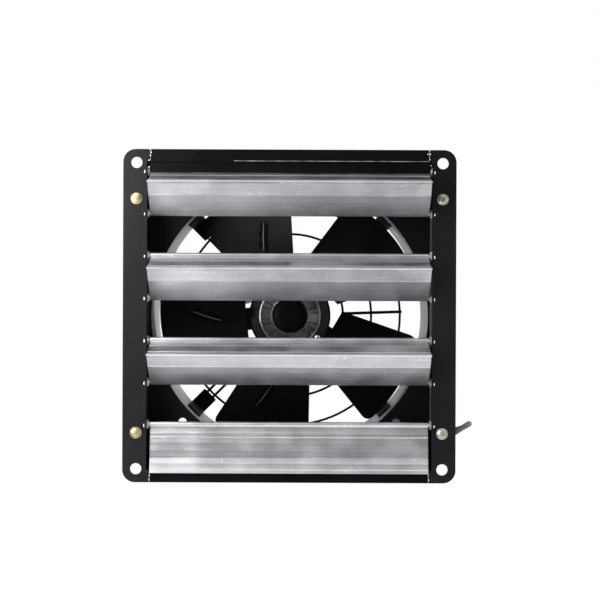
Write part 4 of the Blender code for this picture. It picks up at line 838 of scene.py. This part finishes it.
SCREW = [(0, -5.4), (1.9, -5.36), (3.4, -5.05), (4.6, -4.4), (5.2, -3.4), (5.3, -2.9), (6.3, -2.85),
         (6.5, -2.6), (6.5, -1.8), (2.5, -1.8), (2.5, 11.4), (1.9, 12.2), (0, 12.2)]
DOME = [(0, -5.5), (1.9, -5.46), (3.6, -5.15), (4.25, -4.7), (4.25, -4.2), (0, -4.2)]
ride(screws("screws_left", SCREW, 40, -1, YELLOW_ZINC), "frame", "yellow_zinc",
     "frame_screw_upper_left", "frame_screw_lower_left")
ride(screws("screws_right", SCREW, 40, 1, BRIGHT_STEEL), "frame", "steel",
     "frame_screw_upper_right", "frame_screw_lower_right")
ride(screws("screw_domes", DOME, 32, 1, OLIVE_ZINC), "frame", "steel")
print("flange screws:", 4)

# %% Pivot bushes
def lumps(name, places, shape, segments, rings):
    """Small closed lumps, each an ellipsoid with the given half sizes."""
    bm = bmesh.new()
    for place in places:
        bmesh.ops.create_uvsphere(bm, u_segments=segments, v_segments=rings, radius=1,
                                  matrix=place @ Matrix.Diagonal(Vector((*shape, 1000)) * MM))
    return from_bmesh(name, bm, None)


def bush_strip(side):
    """Seven flanged nylon bushes, their holes along X, on the strip that joins them."""
    bush = spun_part("bush", [(1.8, -2.2), (4.2, -2.2), (4.5, -1.9), (4.5, -0.6), (5.5, -0.5), (5.5, 0),
                              (3.4, 0), (3.4, 2.4), (3.1, 2.7), (1.8, 2.7)], 28)
    lean = Matrix.Rotation(-side * pi / 2, 4, "Z")
    places = [at(side * BUSH_SEAT, PIVOT_DEPTH, z) @ lean for z in PIVOTS]
    # Both strips are painted shade: the right one is a dark grey, and the left one takes the rails' black, darker
    # still. The bushes take a greyed nylon, painted shade too.
    word, coat = ("right", STRIP_GREY) if side > 0 else ("left", RAIL_BLACK)
    node = "bush_strip_" + word
    ride(repeated("bushes_" + word, bush, places, SHADED_NYLON), "frame", "white_nylon", node)
    strip = slab("strip_" + word, box_outline(side * 157.2, side * 158.1, PIVOTS[-1], PIVOTS[0]), "Y", 7.2, 10.2)
    ride(softened(strip, 0.2, coat), "frame", "white_nylon", node)


def snap_ends(side):
    """The bushes' snap ends, which stand through the flange's bend as small white dots."""
    return lumps("clips", [at(side * 161.1, -1.55, z - 1.2) for z in PIVOTS], (0.55, 0.35, 1.7), 12, 8)


bush_strip(-1)
bush_strip(1)
ride(joined("bush_clips", [snap_ends(-1), snap_ends(1)], WHITE_NYLON), "frame", "white_nylon")
print("bushes:", 14)

# %% Painted highlights at the corner seams
# Specks of bright steel along the corner seams: a painted highlight for the glints of the bent edges there.
SEAM_GLINTS = ((-154.9, 184.3), (-153.9, 181.2), (-156.3, 172.6), (-154.7, 178.2), (-156.4, 165.2),
         (154.9, 183.9), (156.1, 180.6), (153.4, 180.4), (155.2, 174.4), (156.6, 167.6),
         (-154.9, -177.5), (-155.3, -182.2), (154.9, -176.4), (155.4, -181.6))
chip = lumps("chip", [Matrix()], (0.55, 0.55 * 0.35, 0.55 * 1.25), 8, 6)
glint_places = [at(x, -SHEET, z) @ around_y(0.7 * sin(3.1 * index)) for index, (x, z) in enumerate(SEAM_GLINTS)]
ride(repeated("seam_chips", chip, glint_places, BRIGHT_STEEL), "frame", "steel")
print("seam glint specks:", len(SEAM_GLINTS))

# %% [markdown]
# ## The louvres
#
# Each louvre is one aluminium extrusion: a bead round the pivot rod, a web with a raised ridge and a
# groove, and a lip that kicks out. A section swept along a line is a rule that Geometry Nodes follow
# well: the object carries the section as a closed loop of edges, and the tree sweeps it, tilts it
# and lifts it to its pivot. Louvres 1, 3 and 5 stand at 73.5 degrees, 2, 4 and 6 at 125 degrees
# and the last one hangs almost shut.

# %% The section of the extrusion
def louvre_section():
    """Loop of (front, drop) points in millimetres, with the fine ribs that the die leaves."""
    half, setback, bead = 0.55, 2.4, 3.0
    kick = tan(radians(9))
    ribs = [(9.0, 0.0), (9.5, 0.10), (10.0, 0.0), (13.3, 0.0), (13.9, 0.34), (14.5, 0.0), (19.6, 0.0),
            (20.1, 0.07), (20.6, 0.0), (28.2, 0.0), (28.7, 0.07), (29.2, 0.0), (35.8, 0.0),
            (36.4, -0.6), (37.0, 0.0)]
    lip = [(43.0, 0.0), (43.5, 0.07), (44.0, 0.0), (49.4, 0.0), (50.0, 0.36), (50.6, 0.0), (54.0, 0.0),
           (54.3, -0.25)]
    middle = [(drop, rise - setback) for drop, rise in ribs]
    middle += [(drop, rise + (drop - 37) * kick - setback) for drop, rise in lip]
    front = [(rise + half, drop) for drop, rise in middle]
    plain = [(drop, rise) for drop, rise in middle if drop in (10.0, 35.8, 36.4, 37.0, 49.4, 54.3)]
    back = [(rise - half, drop) for drop, rise in reversed(plain)]
    start, end = radians(-80), -2 * pi - asin((setback - half) / bead)
    loop = [(bead * sin(a), bead * cos(a)) for a in
            (start + (end - start) * step / 24 for step in range(25))]
    return front + back + loop


def slat_tree():
    tree, given = geometry_tree("extruded_slat", "Slat", Section="Geometry", Length="Float", Tilt="Float",
                                Pivot_Depth="Float", Pivot_Height="Float", Finish="Material")

    def add(kind, output, **inputs):
        return add_node(tree, "GeometryNode" + kind, inputs).outputs[output]

    def vector(**parts):
        return add_node(tree, "ShaderNodeCombineXYZ", parts).outputs["Vector"]

    loop = add("MeshToCurve", "Curve", Mesh=given["Section"])
    fill = add_node(tree, "GeometryNodeFillCurve", {"Curve": loop}, mode="NGONS").outputs["Mesh"]
    pull = add("ExtrudeMesh", "Mesh", Mesh=fill, Offset=vector(Z=given["Length"]), Individual=False)
    both = add_node(tree, "GeometryNodeJoinGeometry", {"Geometry": pull})
    tree.links.new(add("FlipFaces", "Mesh", Mesh=fill), both.inputs["Geometry"])
    weld = add("MergeByDistance", "Geometry", Geometry=both.outputs["Geometry"], Distance=0.005 * MM)
    lay = add("Transform", "Geometry", Geometry=weld, Rotation=(pi / 2, 0, pi / 2),
              Translation=vector(X=maths(tree, "MULTIPLY", given["Length"], -0.5)))
    place = add("Transform", "Geometry", Geometry=lay, Rotation=vector(X=given["Tilt"]),
                Translation=vector(Y=given["Pivot Depth"], Z=given["Pivot Height"]))
    return coated(tree, place, given["Finish"])


EXTRUDED_SLAT = slat_tree()
LOUVRE_LENGTH = 309.5
TILTS = [73.5, 125, 73.5, 125, 73.5, 125, 8.5]

# %% Sweep the seven louvres
def louvre(number):
    """The section lies in the XY plane: X is the front, Y is up, so a drop is a negative Y."""
    mesh = bpy.data.meshes.new(f"louvre_blade_{number + 1}")
    points = [(-front * MM, -drop * MM, 0) for front, drop in louvre_section()]
    mesh.from_pydata(points, [(i, (i + 1) % len(points)) for i in range(len(points))], [])
    return run_tree(add_object(mesh.name, mesh), EXTRUDED_SLAT, 20, Length=LOUVRE_LENGTH * MM,
                    Tilt=-radians(TILTS[number]), Pivot_Depth=PIVOT_DEPTH * MM,
                    Pivot_Height=PIVOTS[number] * MM, Finish=LOUVRE_METAL)


for number in range(7):
    blade = louvre(number)
    ride(blade, f"louvre_{number + 1}", "aluminium", f"louvre_{number + 1}")
    low, high = (Vector(c) for c in (blade.bound_box[0], blade.bound_box[6]))
    print(blade.name, "depth", round(low.y / MM, 1), "to", round(high.y / MM, 1), "mm, height",
          round(low.z / MM, 1), "to", round(high.z / MM, 1), "mm")

# %% Pivot rods keep their solids and get bright steel
dress(BRIGHT_STEEL, *(f"louvre_rod_{number + 1}" for number in range(7)))
print("rods dressed:", 7)

# %% [markdown]
# ## Inlet ring and wire guard
#
# The ring is rolled from galvanised strip and meets the plate with a thin dark joint. Its wall leans
# in a little towards the back. A spun profile gives it its thin wall, a rolled bead at each rim and the
# lap seam that every rolled ring has.

# %% Inlet ring
def inlet_ring():
    profile = [(157.0, 40.3), (158.2, 40.3), (158.1, 43.0), (158.35, 43.5), (158.35, 44.5), (158.0, 45.0),
               (155.6, 110.5), (155.9, 111.2), (155.9, 112.2), (155.45, 113), (155.4, 115.0), (154.2, 115.0),
               (154.25, 113), (154.7, 112.2), (154.7, 111.2), (154.4, 110.5), (156.8, 45.0),
               (157.1, 44.5), (157.1, 43.5), (156.9, 43.0)]
    bm = bmesh.new()
    spun(bm, profile, 160)
    seam = around_y(radians(200)) @ at(156.95, 77.5, 0)
    lean = Matrix.Rotation(atan(2.8 / 74.7), 4, "Z")
    bmesh.ops.create_cube(bm, size=1, matrix=seam @ lean @ Matrix.Diagonal(Vector((1.0, 60, 14, 1000)) * MM))
    return from_bmesh("inlet_ring", bm, RING_METAL, 25)


ride(inlet_ring(), "frame", "zinc_sheet", "venturi_ring")
print("ring: 1")

# %% [markdown]
# The guard is welded from wire: three rings, four thicker rods in front of them and four hairpins that
# reach the motor. Curves with a round bevel make the wires, and a small lump stands at each weld,
# where real resistance welds squeeze a little metal out.

# %% Guard
GUARD_RADII = (62.6, 96.0, 130.0)
ROD_TURNS = turns(4, radians(2))
HAIRPIN_HALF, BOLT_CIRCLE = 4.5, 55


def wire(paths, diameter, closed=False):
    curve = round_curve("wire", diameter * MM)
    for path in paths:
        spline = curve.splines.new("POLY")
        spline.points.add(len(path) - 1)
        for point, place in zip(spline.points, path):
            point.co = (*(Vector(place) * MM), 1)
        spline.use_cyclic_u = closed
    return frozen(add_object("wire", curve), 60)


def hairpin(turn):
    bend = [(BOLT_CIRCLE + HAIRPIN_HALF * cos(a), HAIRPIN_HALF * sin(a)) for a in
            (pi / 2 + pi * step / 12 for step in range(13))]
    flat = [(150, HAIRPIN_HALF)] + bend + [(150, -HAIRPIN_HALF)]
    return [around_y(turn) @ Vector((x, 120.2, z)) for x, z in flat]


def weld_places():
    """Where each ring meets the rods, and where it meets both wires of each hairpin."""
    places = [at(r * cos(a), 116.9, r * sin(a)) for r in GUARD_RADII for a in ROD_TURNS]
    return places + [at(*(around_y(turn) @ Vector((sqrt(r * r - HAIRPIN_HALF ** 2), 119.1, z))))
                     for turn in DIAGONALS for r in GUARD_RADII for z in (-HAIRPIN_HALF, HAIRPIN_HALF)]


rings = [[(r * cos(a), 118, r * sin(a)) for a in turns(96)] for r in GUARD_RADII]
rods = [[(r * cos(a), 115.55, r * sin(a)) for r in (60.6, 100, 132)] for a in ROD_TURNS]
wires = [wire(rings, 2.7, closed=True), wire(rods, 3.5), wire([hairpin(turn) for turn in DIAGONALS], 3.0)]
welds = lumps("welds", weld_places(), (1.75, 1.75, 1.75), 12, 8)
ride(joined("guard", wires + [welds], DEEP_BLACK, 60), "frame", "black_coat", "wire_guard")
print("guard: rings", len(GUARD_RADII), "rods 4 hairpins 4")

# %% Guard brackets
def bracket(number):
    """Angle on the ring's inner wall, clamp plate over the wires and three rivets through both."""
    leg = [(155.4, 62), (153.4, 118.4), (133, 118.4), (133, 116.9), (151.9, 116.9), (153.9, 62)]
    angle = slab("leg", leg, "Z", -9.5, 9.5)
    plate = slab("clamp", box_outline(133, 150, -7.5, 7.5), "Y", 122.0, 123.5)
    rivet = spun_part("rivet", [(0, 115.6), (1.2, 115.7), (2.1, 116.3), (2.3, 116.95), (1.3, 117.2),
                                (1.3, 123.3), (2.1, 123.55), (1.9, 124.0), (1.0, 124.3), (0, 124.35)], 20)
    places = [at(133 + 17 * share, 0, 0) for share in (0.22, 0.55, 0.86)]
    parts = [softened(angle, 0.35, DEEP_BLACK), softened(plate, 0.35, DEEP_BLACK),
             repeated("rivets", rivet, places, DEEP_BLACK)]
    return moved(joined(f"bracket_{number + 1}", parts, DEEP_BLACK), around_y(DIAGONALS[number]))


for number in range(4):
    ride(bracket(number), "frame", "black_coat", f"guard_bracket_{number + 1}")
print("brackets:", 4)

# %% [markdown]
# ## The wheel
#
# Five sheet blades are riveted to the arms of a pressed hub. A blade is cut from flat sheet, given a
# little hollow and set at 22 degrees. Its surface is a height over a grid of places, so the pressed
# rib that stiffens it is simply added to that height. The grid's outer corners are rounded by pulling
# the tip line in near the two edges.

# %% Blade surface
BLADE_TIP, BLADE_ROOT, BLADE_PLANE, TIP_CORNER = 150.0, 50.0, 80.0, 9.0
RIB_START, RIB_REACH = 80, 31
PITCH = radians(22)
BLADE_ANGLES = [radians(113 + 72 * n) for n in range(5)]


def leading_edge(reach):
    return (23.6 + reach * sin(radians(13))) / cos(radians(13))


def trailing_edge(reach):
    return -(7.7 + reach * sin(radians(20))) / cos(radians(20))


def tip_angle(edge):
    reach = BLADE_TIP
    for _ in range(20):
        reach = sqrt(BLADE_TIP ** 2 - edge(reach) ** 2)
    return atan2(edge(reach), reach)


TIP_A, TIP_B = tip_angle(leading_edge), tip_angle(trailing_edge)
HALF_CHORD = BLADE_TIP * sin(TIP_A)


def rib_line(share):
    """Middle line of the pressed rib: (reach, across) at a share of its length."""
    return RIB_START + RIB_REACH * share, -1 - 13 * share + 3.2 * share * (1 - share)


def pressed_rib(reach, across):
    """Height of the stiffening rib, which curves from the arm's end towards the tip."""
    share = (reach - RIB_START) / RIB_REACH
    if not -0.1 < share < 1.1:
        return 0.0
    fade = min(1, max(0, (0.5 - abs(share - 0.5)) / 0.12 + 1))
    return 1.7 * fade * exp(-((across - rib_line(share)[1]) / 2.4) ** 2)


def blade_depth(reach, across):
    return (BLADE_PLANE + tan(PITCH) * across - 5.0 * (across / HALF_CHORD) ** 2
            - pressed_rib(reach, across))


def sheet_over(name, grid, shift, thickness, material=None):
    """A closed sheet, that thick, over a grid of (reach, across) places."""
    bm = bmesh.new()
    layers = [[[bm.verts.new(Vector((p.x, blade_depth(p.x, p.y) + shift + side, p.y)) * MM) for p in line]
               for line in grid] for side in (-thickness / 2, thickness / 2)]
    rows, columns = len(grid), len(grid[0])
    for layer in layers:
        for i in range(rows - 1):
            for j in range(columns - 1):
                bm.faces.new((layer[i][j], layer[i][j + 1], layer[i + 1][j + 1], layer[i + 1][j]))
    rim = [(0, j) for j in range(columns)] + [(i, columns - 1) for i in range(1, rows)]
    rim += [(rows - 1, j) for j in range(columns - 2, -1, -1)] + [(i, 0) for i in range(rows - 2, 0, -1)]
    for (i, j), (k, m) in zip(rim, rim[1:] + rim[:1]):
        bm.faces.new((layers[0][i][j], layers[0][k][m], layers[1][k][m], layers[1][i][j]))
    return from_bmesh(name, bm, material)


def blade_grid(rows=34, columns=44):
    grid = []
    root_low, root_high = trailing_edge(BLADE_ROOT), leading_edge(BLADE_ROOT)
    for row in range(rows + 1):
        line = []
        for column in range(columns + 1):
            share = 0.5 - 0.5 * cos(pi * column / columns)
            angle = TIP_B + (TIP_A - TIP_B) * share
            near = min(min(share, 1 - share) * BLADE_TIP * (TIP_A - TIP_B), TIP_CORNER)
            reach = BLADE_TIP - (TIP_CORNER - sqrt(TIP_CORNER ** 2 - (TIP_CORNER - near) ** 2))
            tip = Vector((reach * cos(angle), reach * sin(angle)))
            root = Vector((BLADE_ROOT, root_low + (root_high - root_low) * share))
            line.append(root.lerp(tip, row / rows))
        grid.append(line)
    return grid


# %% Blades with their rivets and ribs
def fan_blade(number):
    front = -0.75 * cos(PITCH)
    back = (0.75 + 0.3 + 2) * cos(PITCH) + 0.3
    rivet = [(0, front - 1.2), (1.6, front - 1.1), (2.9, front - 0.65), (3.6, front + 0.1), (2.0, front + 0.3),
             (2.0, back - 0.05), (3.5, back), (3.0, back + 0.7), (1.6, back + 1.15), (0, back + 1.2)]
    places = [at(reach, BLADE_PLANE, 0) @ Matrix.Rotation(-PITCH, 4, "X") for reach in (58, 70, 82)]
    parts = [sheet_over("sheet", blade_grid(), 0, 1.5),
             repeated("rivets", spun_part("rivet", rivet, 24), places, BLADE_BLACK)]
    return moved(joined(f"blade_{number + 1}", parts, BLADE_BLACK), around_y(BLADE_ANGLES[number]))


def rib_skins(name, half_width, lift, material):
    """Thin skins along the ribs of all blades: painted shade on the flanks, or a painted highlight on the crests.
    """
    grid = []
    for share in (row / 24 for row in range(25)):
        reach, across = rib_line(share)
        half = half_width * sqrt(max(0.02, 1 - (2 * share - 1) ** 8))
        grid.append([Vector((reach, across + half * (column / 6 - 1))) for column in range(13)])
    skins = copies_round(lambda: sheet_over("rib_skin", grid, -0.75 - lift, 0.12), BLADE_ANGLES)
    return joined(name, skins, material)


for number in range(5):
    ride(fan_blade(number), "fan_wheel", "black_blade", f"fan_blade_{number + 1}")
# Painted shade on the ribs' flanks and a painted highlight on their crests.
ride(rib_skins("rib_flanks", 5.6, 0.06, RIB_SHADE), "fan_wheel", "black_blade")
ride(rib_skins("rib_crests", 0.9, 0.2, GREYISH_BLACK), "fan_wheel", "black_blade")
print("blades:", 5, "tip angles", round(degrees(TIP_A), 1), round(degrees(TIP_B), 1))

# %% [markdown]
# The hub is a pressed cone with a rolled rim. Grooves in pairs run down the cone, small lugs stand
# round its flange, and five arms carry the blades. A domed cap hides the shaft's nut.

# %% Hub, lugs and cap
GROOVE_ANGLES = [radians(middle + lean) for middle in (12, 84, 156, 194, 264, 336) for lean in (-6, 6)]


def hub_arm():
    grid = []
    for reach in (41 + 49 * row / 12 for row in range(13)):
        half = 13 * min(1, sqrt(max(0.05, 1 - max(0, (reach - 80) / 10.5) ** 2)))
        grid.append([Vector((reach, half * sin(pi / 2 * (c / 8 - 1)))) for c in range(17)])
    return sheet_over("arm", grid, 2.05, 2.0)


def groove_bars(name, first, last, top, bottom, half):
    """A bar at every groove of the cone, between two shares of its length and two heights over it."""
    start, run, rise = Vector((22.0, 67.0)), Vector((12.2, 13.4)), Vector((0.74, -0.674))
    near, far = start + run * first, start + run * last
    outline = [near + rise * top, far + rise * top, far + rise * bottom, near + rise * bottom]
    return copies_round(lambda: slab(name, outline, "Z", -half, half), GROOVE_ANGLES)


def cone():
    profile = [(5.3, 66), (20.6, 66), (21.2, 66.3), (22.0, 67.0), (34.2, 80.4), (35.4, 81.05), (36.2, 81.05),
               (36.2, 83.05), (35.0, 83.05), (33.8, 82.6), (20.8, 68.4), (19.8, 67.6), (10, 67.6), (10, 92),
               (5.3, 92)]
    cutters = groove_bars("groove", 0.10, 0.93, 1, -0.9, 0.5)
    return joined("hub_cone", [combine(spun_part("cone", profile, 96), cutters)], HUB_GREY)


def hub_flange():
    profile = [(36.3, 81.05), (45.4, 81.05), (46.0, 80.3), (46.7, 80.1), (47.2, 80.6), (47.2, 82.6),
               (46.8, 83.05), (36.3, 83.05)]
    arms = copies_round(hub_arm, BLADE_ANGLES)
    return joined("hub_flange", [spun_part("flange", profile, 96)] + arms, RAIL_BLACK)


def hub_lugs():
    """Two rounds of small lugs on a low ring."""
    inner = [(0, -1.5), (0.9, -1.45), (1.4, -0.9), (1.5, 0.1), (0, 0.1)]
    outer = [(0, -1.0), (0.9, -0.95), (1.2, -0.5), (1.2, 0.1), (0, 0.1)]
    parts = [spun_part("ring", [(35.9, 80.95), (45.0, 80.95), (45.0, 81.3), (35.9, 81.3)], 72)]
    for profile, count, start, radius in ((inner, 30, 7, 38.3), (outer, 40, 3, 43.6)):
        places = [around_y(turn) @ at(radius, 81.0, 0) for turn in turns(count, radians(start))]
        parts.append(repeated("lugs", spun_part("lug", profile, 12), places, BLACK_PLASTIC))
    return joined("hub_lugs", parts, BLACK_PLASTIC)


def balance_screw():
    part = spun_part("screw", [(0, -2.2), (1.6, -2.1), (2.8, -1.5), (3.2, -0.6), (3.2, 0.05), (0, 0.05)], 24)
    return repeated("balance_screw", part, [around_y(radians(-38)) @ at(40.8, 81.0, 0)], BRIGHT_STEEL)


CAP = [(0, 58.7), (7.5, 58.75), (11.5, 58.95), (15.2, 59.6), (17.6, 60.8), (18.9, 62.3), (19.4, 63.8),
       (19.5, 65.0), (20.0, 65.3), (20.0, 65.7), (17.9, 65.7), (17.8, 63.8), (16.4, 61.9), (14.0, 60.9), (0, 60.3)]
CAP_RIM = [(20.15, 65.3), (20.6, 65.0), (21.1, 65.25), (21.1, 65.95), (20.15, 65.95)]
ride(cone(), "fan_wheel", "hub_grey", "fan_hub")
# Dark bars laid in the cone's grooves: painted shade, so each groove reads as a dark line.
groove_shade_bars = groove_bars("groove_bed", 0.11, 0.92, -0.15, -1, 0.48)
ride(joined("groove_beds", groove_shade_bars, DEEP_BLACK), "fan_wheel", "hub_grey")
ride(hub_flange(), "fan_wheel", "hub_grey", "fan_hub")
ride(hub_lugs(), "fan_wheel", "hub_grey")
ride(balance_screw(), "fan_wheel", "steel")
ride(spun_part("cap", CAP, 72, RAIL_BLACK), "fan_wheel", "black_plastic", "hub_cap")
ride(spun_part("cap_rim", CAP_RIM, 96, GREYISH_BLACK), "fan_wheel", "steel")
dress(BRIGHT_STEEL, "hub_nut", "motor_shaft")
dress(LAMINATIONS, "rotor_core")
print("hub, lugs, cap and nut dressed")

# %% [markdown]
# ## The motor and what is fixed to it
#
# Two drawn shields clamp the laminated stator between them. The front one faces the wheel, the rear
# one carries the terminal box. The shields are spun profiles with rolled steps, cut by ventilation
# slots in a ring, and each has four ears for the long bolts that also hold the guard's hairpins.

# %% Motor shields
def ear(start):
    """An ear with a rounded end, drilled for a long bolt."""
    outline = [(45.75, -6), (54.5, -6)] + [(54.5 + 4.3 * cos(a), 6 * sin(a)) for a in
                                          (radians(t) for t in range(-75, 90, 15))]
    outline += [(54.5, 6), (45.75, 6)]
    hole = slab("hole", disc_outline(2.3, (BOLT_CIRCLE, 0), 20), "Y", start - 2, start + 5)
    return softened(combine(slab("ear", outline, "Y", start, start + 3), [hole]), 0.4, DEEP_BLACK)


def shield(name, face, way, depth, inner, dish, slot_span, ears):
    """A drawn shield. Its profile runs inwards from the face, and its open rim is at the given depth."""
    boss, low, high, corner = dish
    steps = [(inner, 0), (boss, 0), (boss + 1, 0.8), (low, 0.8), (high, 0), (corner, 0), (45.6, 0.8), (46.8, 2.6),
             (47, 4), (47, depth), (46.4, depth + 0.7), (46.4, depth + 3.1), (47, depth + 3.8),
             (47, depth + 4.2), (44.5, depth + 4.2), (44.5, 5.5), (41.5, 2.5), (15.8, 2.5), (15.8, 10.5),
             (13.3, 10.5), (13.3, 2.5), (inner, 2.5)]
    shell = spun_part("shell", [(r, face + way * step) for r, step in steps], 96)
    slots = copies_round(lambda: slab("slot", box_outline(28, 40, -1.3, 1.3), "Y", *slot_span), turns(18))
    parts = [combine(shell, slots)] + copies_round(lambda: ear(ears), DIAGONALS)
    return joined(name, parts, BLACK_COAT)


ride(shield("motor_shield_front", 97, 1, 22.5, 6.2, (16.5, 24, 25, 43.6), (94, 102), 115.4), "frame", "black_coat",
     "motor_front_shield")
ride(shield("motor_shield_rear", 162, -1, 15.5, 0, (18, 25, 26, 43.4), (158, 165), 142.3), "frame", "black_coat",
     "motor_rear_shield")
dress(LAMINATIONS, "stator_core")
dress(COPPER, "stator_windings")
dress(BRIGHT_STEEL, "front_bearing", "rear_bearing")
print("motor shields:", 2)

# %% [markdown]
# The long bolts have hexagon heads in front, flange nuts behind the hairpins and nuts at the back ears,
# and their thread shows in between. The thread is a spun zigzag, which is enough at this size.

# %% Long bolts
def long_bolt():
    shank = [(0, 112.6), (2.0, 112.6), (2.0, 121.9)]
    depth = 122.0
    while depth < 147.4:
        shank += [(2.0, depth), (1.75, depth + 0.35)]
        depth += 0.7
    shank += [(2.0, 148.2), (1.6, 148.6), (0, 148.6)]
    washer = [(2.05, 122.05), (5.8, 122.05), (6.0, 122.25), (6.0, 122.75), (5.8, 122.95), (2.05, 122.95)]
    parts = [spun_part("shank", shank, 16), spun_part("washer", washer, 28)]
    for radius, start, end in ((3.9, 112.6, 115.1), (4.1, 122.9, 124.5), (3.9, 145.6, 148.1)):
        parts.append(softened(slab("hexagon", disc_outline(radius, sides=6), "Y", start, end), 0.25, BRIGHT_STEEL))
    return joined("bolt", parts, BRIGHT_STEEL)


for number in range(4):
    place = around_y(DIAGONALS[number]) @ at(BOLT_CIRCLE, 0, 0)
    piece = repeated(f"long_bolt_{number + 1}", long_bolt(), [place], BRIGHT_STEEL)
    ride(piece, "frame", "steel", f"motor_bolt_{number + 1}")
print("long bolts:", 4)

# %% [markdown]
# The terminal box is a moulded tray with a screwed lid, and ribs run down three of its walls for grip.
# The run capacitor is a pale can with a moulded rim, a strap and two tabs. The cord clip is a small
# block that grips the cord on the guard's lower right bracket.

# %% Terminal box, lid, clip and capacitor
def block(name, outline, start, end, edge, material, segments=2):
    return softened(slab(name, outline, "Y", start, end), edge, material, segments)


def tray():
    body = block("tray", box_outline(-16, 16, -16, 16), 162.3, 184.3, 1.6, BLACK_PLASTIC, 3)
    hollow = slab("hollow", box_outline(-14, 14, -14, 14), "Y", 164.3, 190)
    parts = [combine(body, [hollow])]
    for across in (-9, -3, 3, 9):
        rib = box_outline(15.9, 16.3, across - 0.7, across + 0.7)
        parts += copies_round(lambda: block("rib", rib, 164, 182, 0.15, BLACK_PLASTIC), turns(4)[1:])
    return moved(joined("terminal_tray", parts, BLACK_PLASTIC), around_y(CORD_ANGLE))


def tray_lid():
    screw = spun_part("screw", [(0, 0), (2.2, 0), (2.4, -0.4), (2.0, -1.0), (0, -1.2)], 20)
    places = [at(x, 186.0, z) @ Matrix.Rotation(pi, 4, "X") for x in (-13, 13) for z in (-13, 13)]
    parts = [block("lid", box_outline(-16, 16, -16, 16), 184.6, 186.6, 0.7, BLACK_PLASTIC, 3),
             block("panel", box_outline(-10, 10, -12.5, 12.5), 186.2, 186.85, 0.3, BLACK_PLASTIC),
             repeated("screws", screw, places, BLACK_PLASTIC)]
    return moved(joined("terminal_lid", parts, BLACK_PLASTIC), around_y(CORD_ANGLE))


def cord_clip():
    cutters = [slab("bore", disc_outline(3.3, (129.6, 0)), "X", 130, 150),
               slab("slit", box_outline(129, 140, -0.5, 0.5), "X", 130, 150)]
    body = combine(slab("clip", box_outline(124.8, 134.4, -4.8, 4.8), "X", 138, 146), cutters)
    return moved(softened(body, 0.5, BLACK_PLASTIC), around_y(CORD_ANGLE))


def capacitor():
    can = [(0, 126), (10.8, 126), (11.6, 126.4), (11.8, 127.2), (11.8, 157), (12.0, 157.6), (12.0, 159.6),
           (11.4, 160.4), (10.6, 160.2), (0, 160.2)]
    strap = [(11.7, 138), (12.0, 138), (12.0, 148), (11.7, 148)]
    parts = [spun_part("can", can, 64), spun_part("strap", strap, 64)]
    parts += [block("tab", box_outline(x - 0.4, x + 0.4, -3.1, 3.1), 160, 162, 0.15, PALE_PLASTIC) for x in (-4, 4)]
    return moved(joined("capacitor_can", parts, PALE_PLASTIC), around_y(radians(155)) @ at(59.3, 0, 0))


ride(tray(), "frame", "black_plastic", "terminal_box")
ride(tray_lid(), "frame", "black_plastic", "terminal_box_lid")
ride(cord_clip(), "frame", "black_plastic", "cord_clip")
ride(capacitor(), "frame", "pale_plastic", "run_capacitor")
print("terminal box, lid, clip and capacitor")
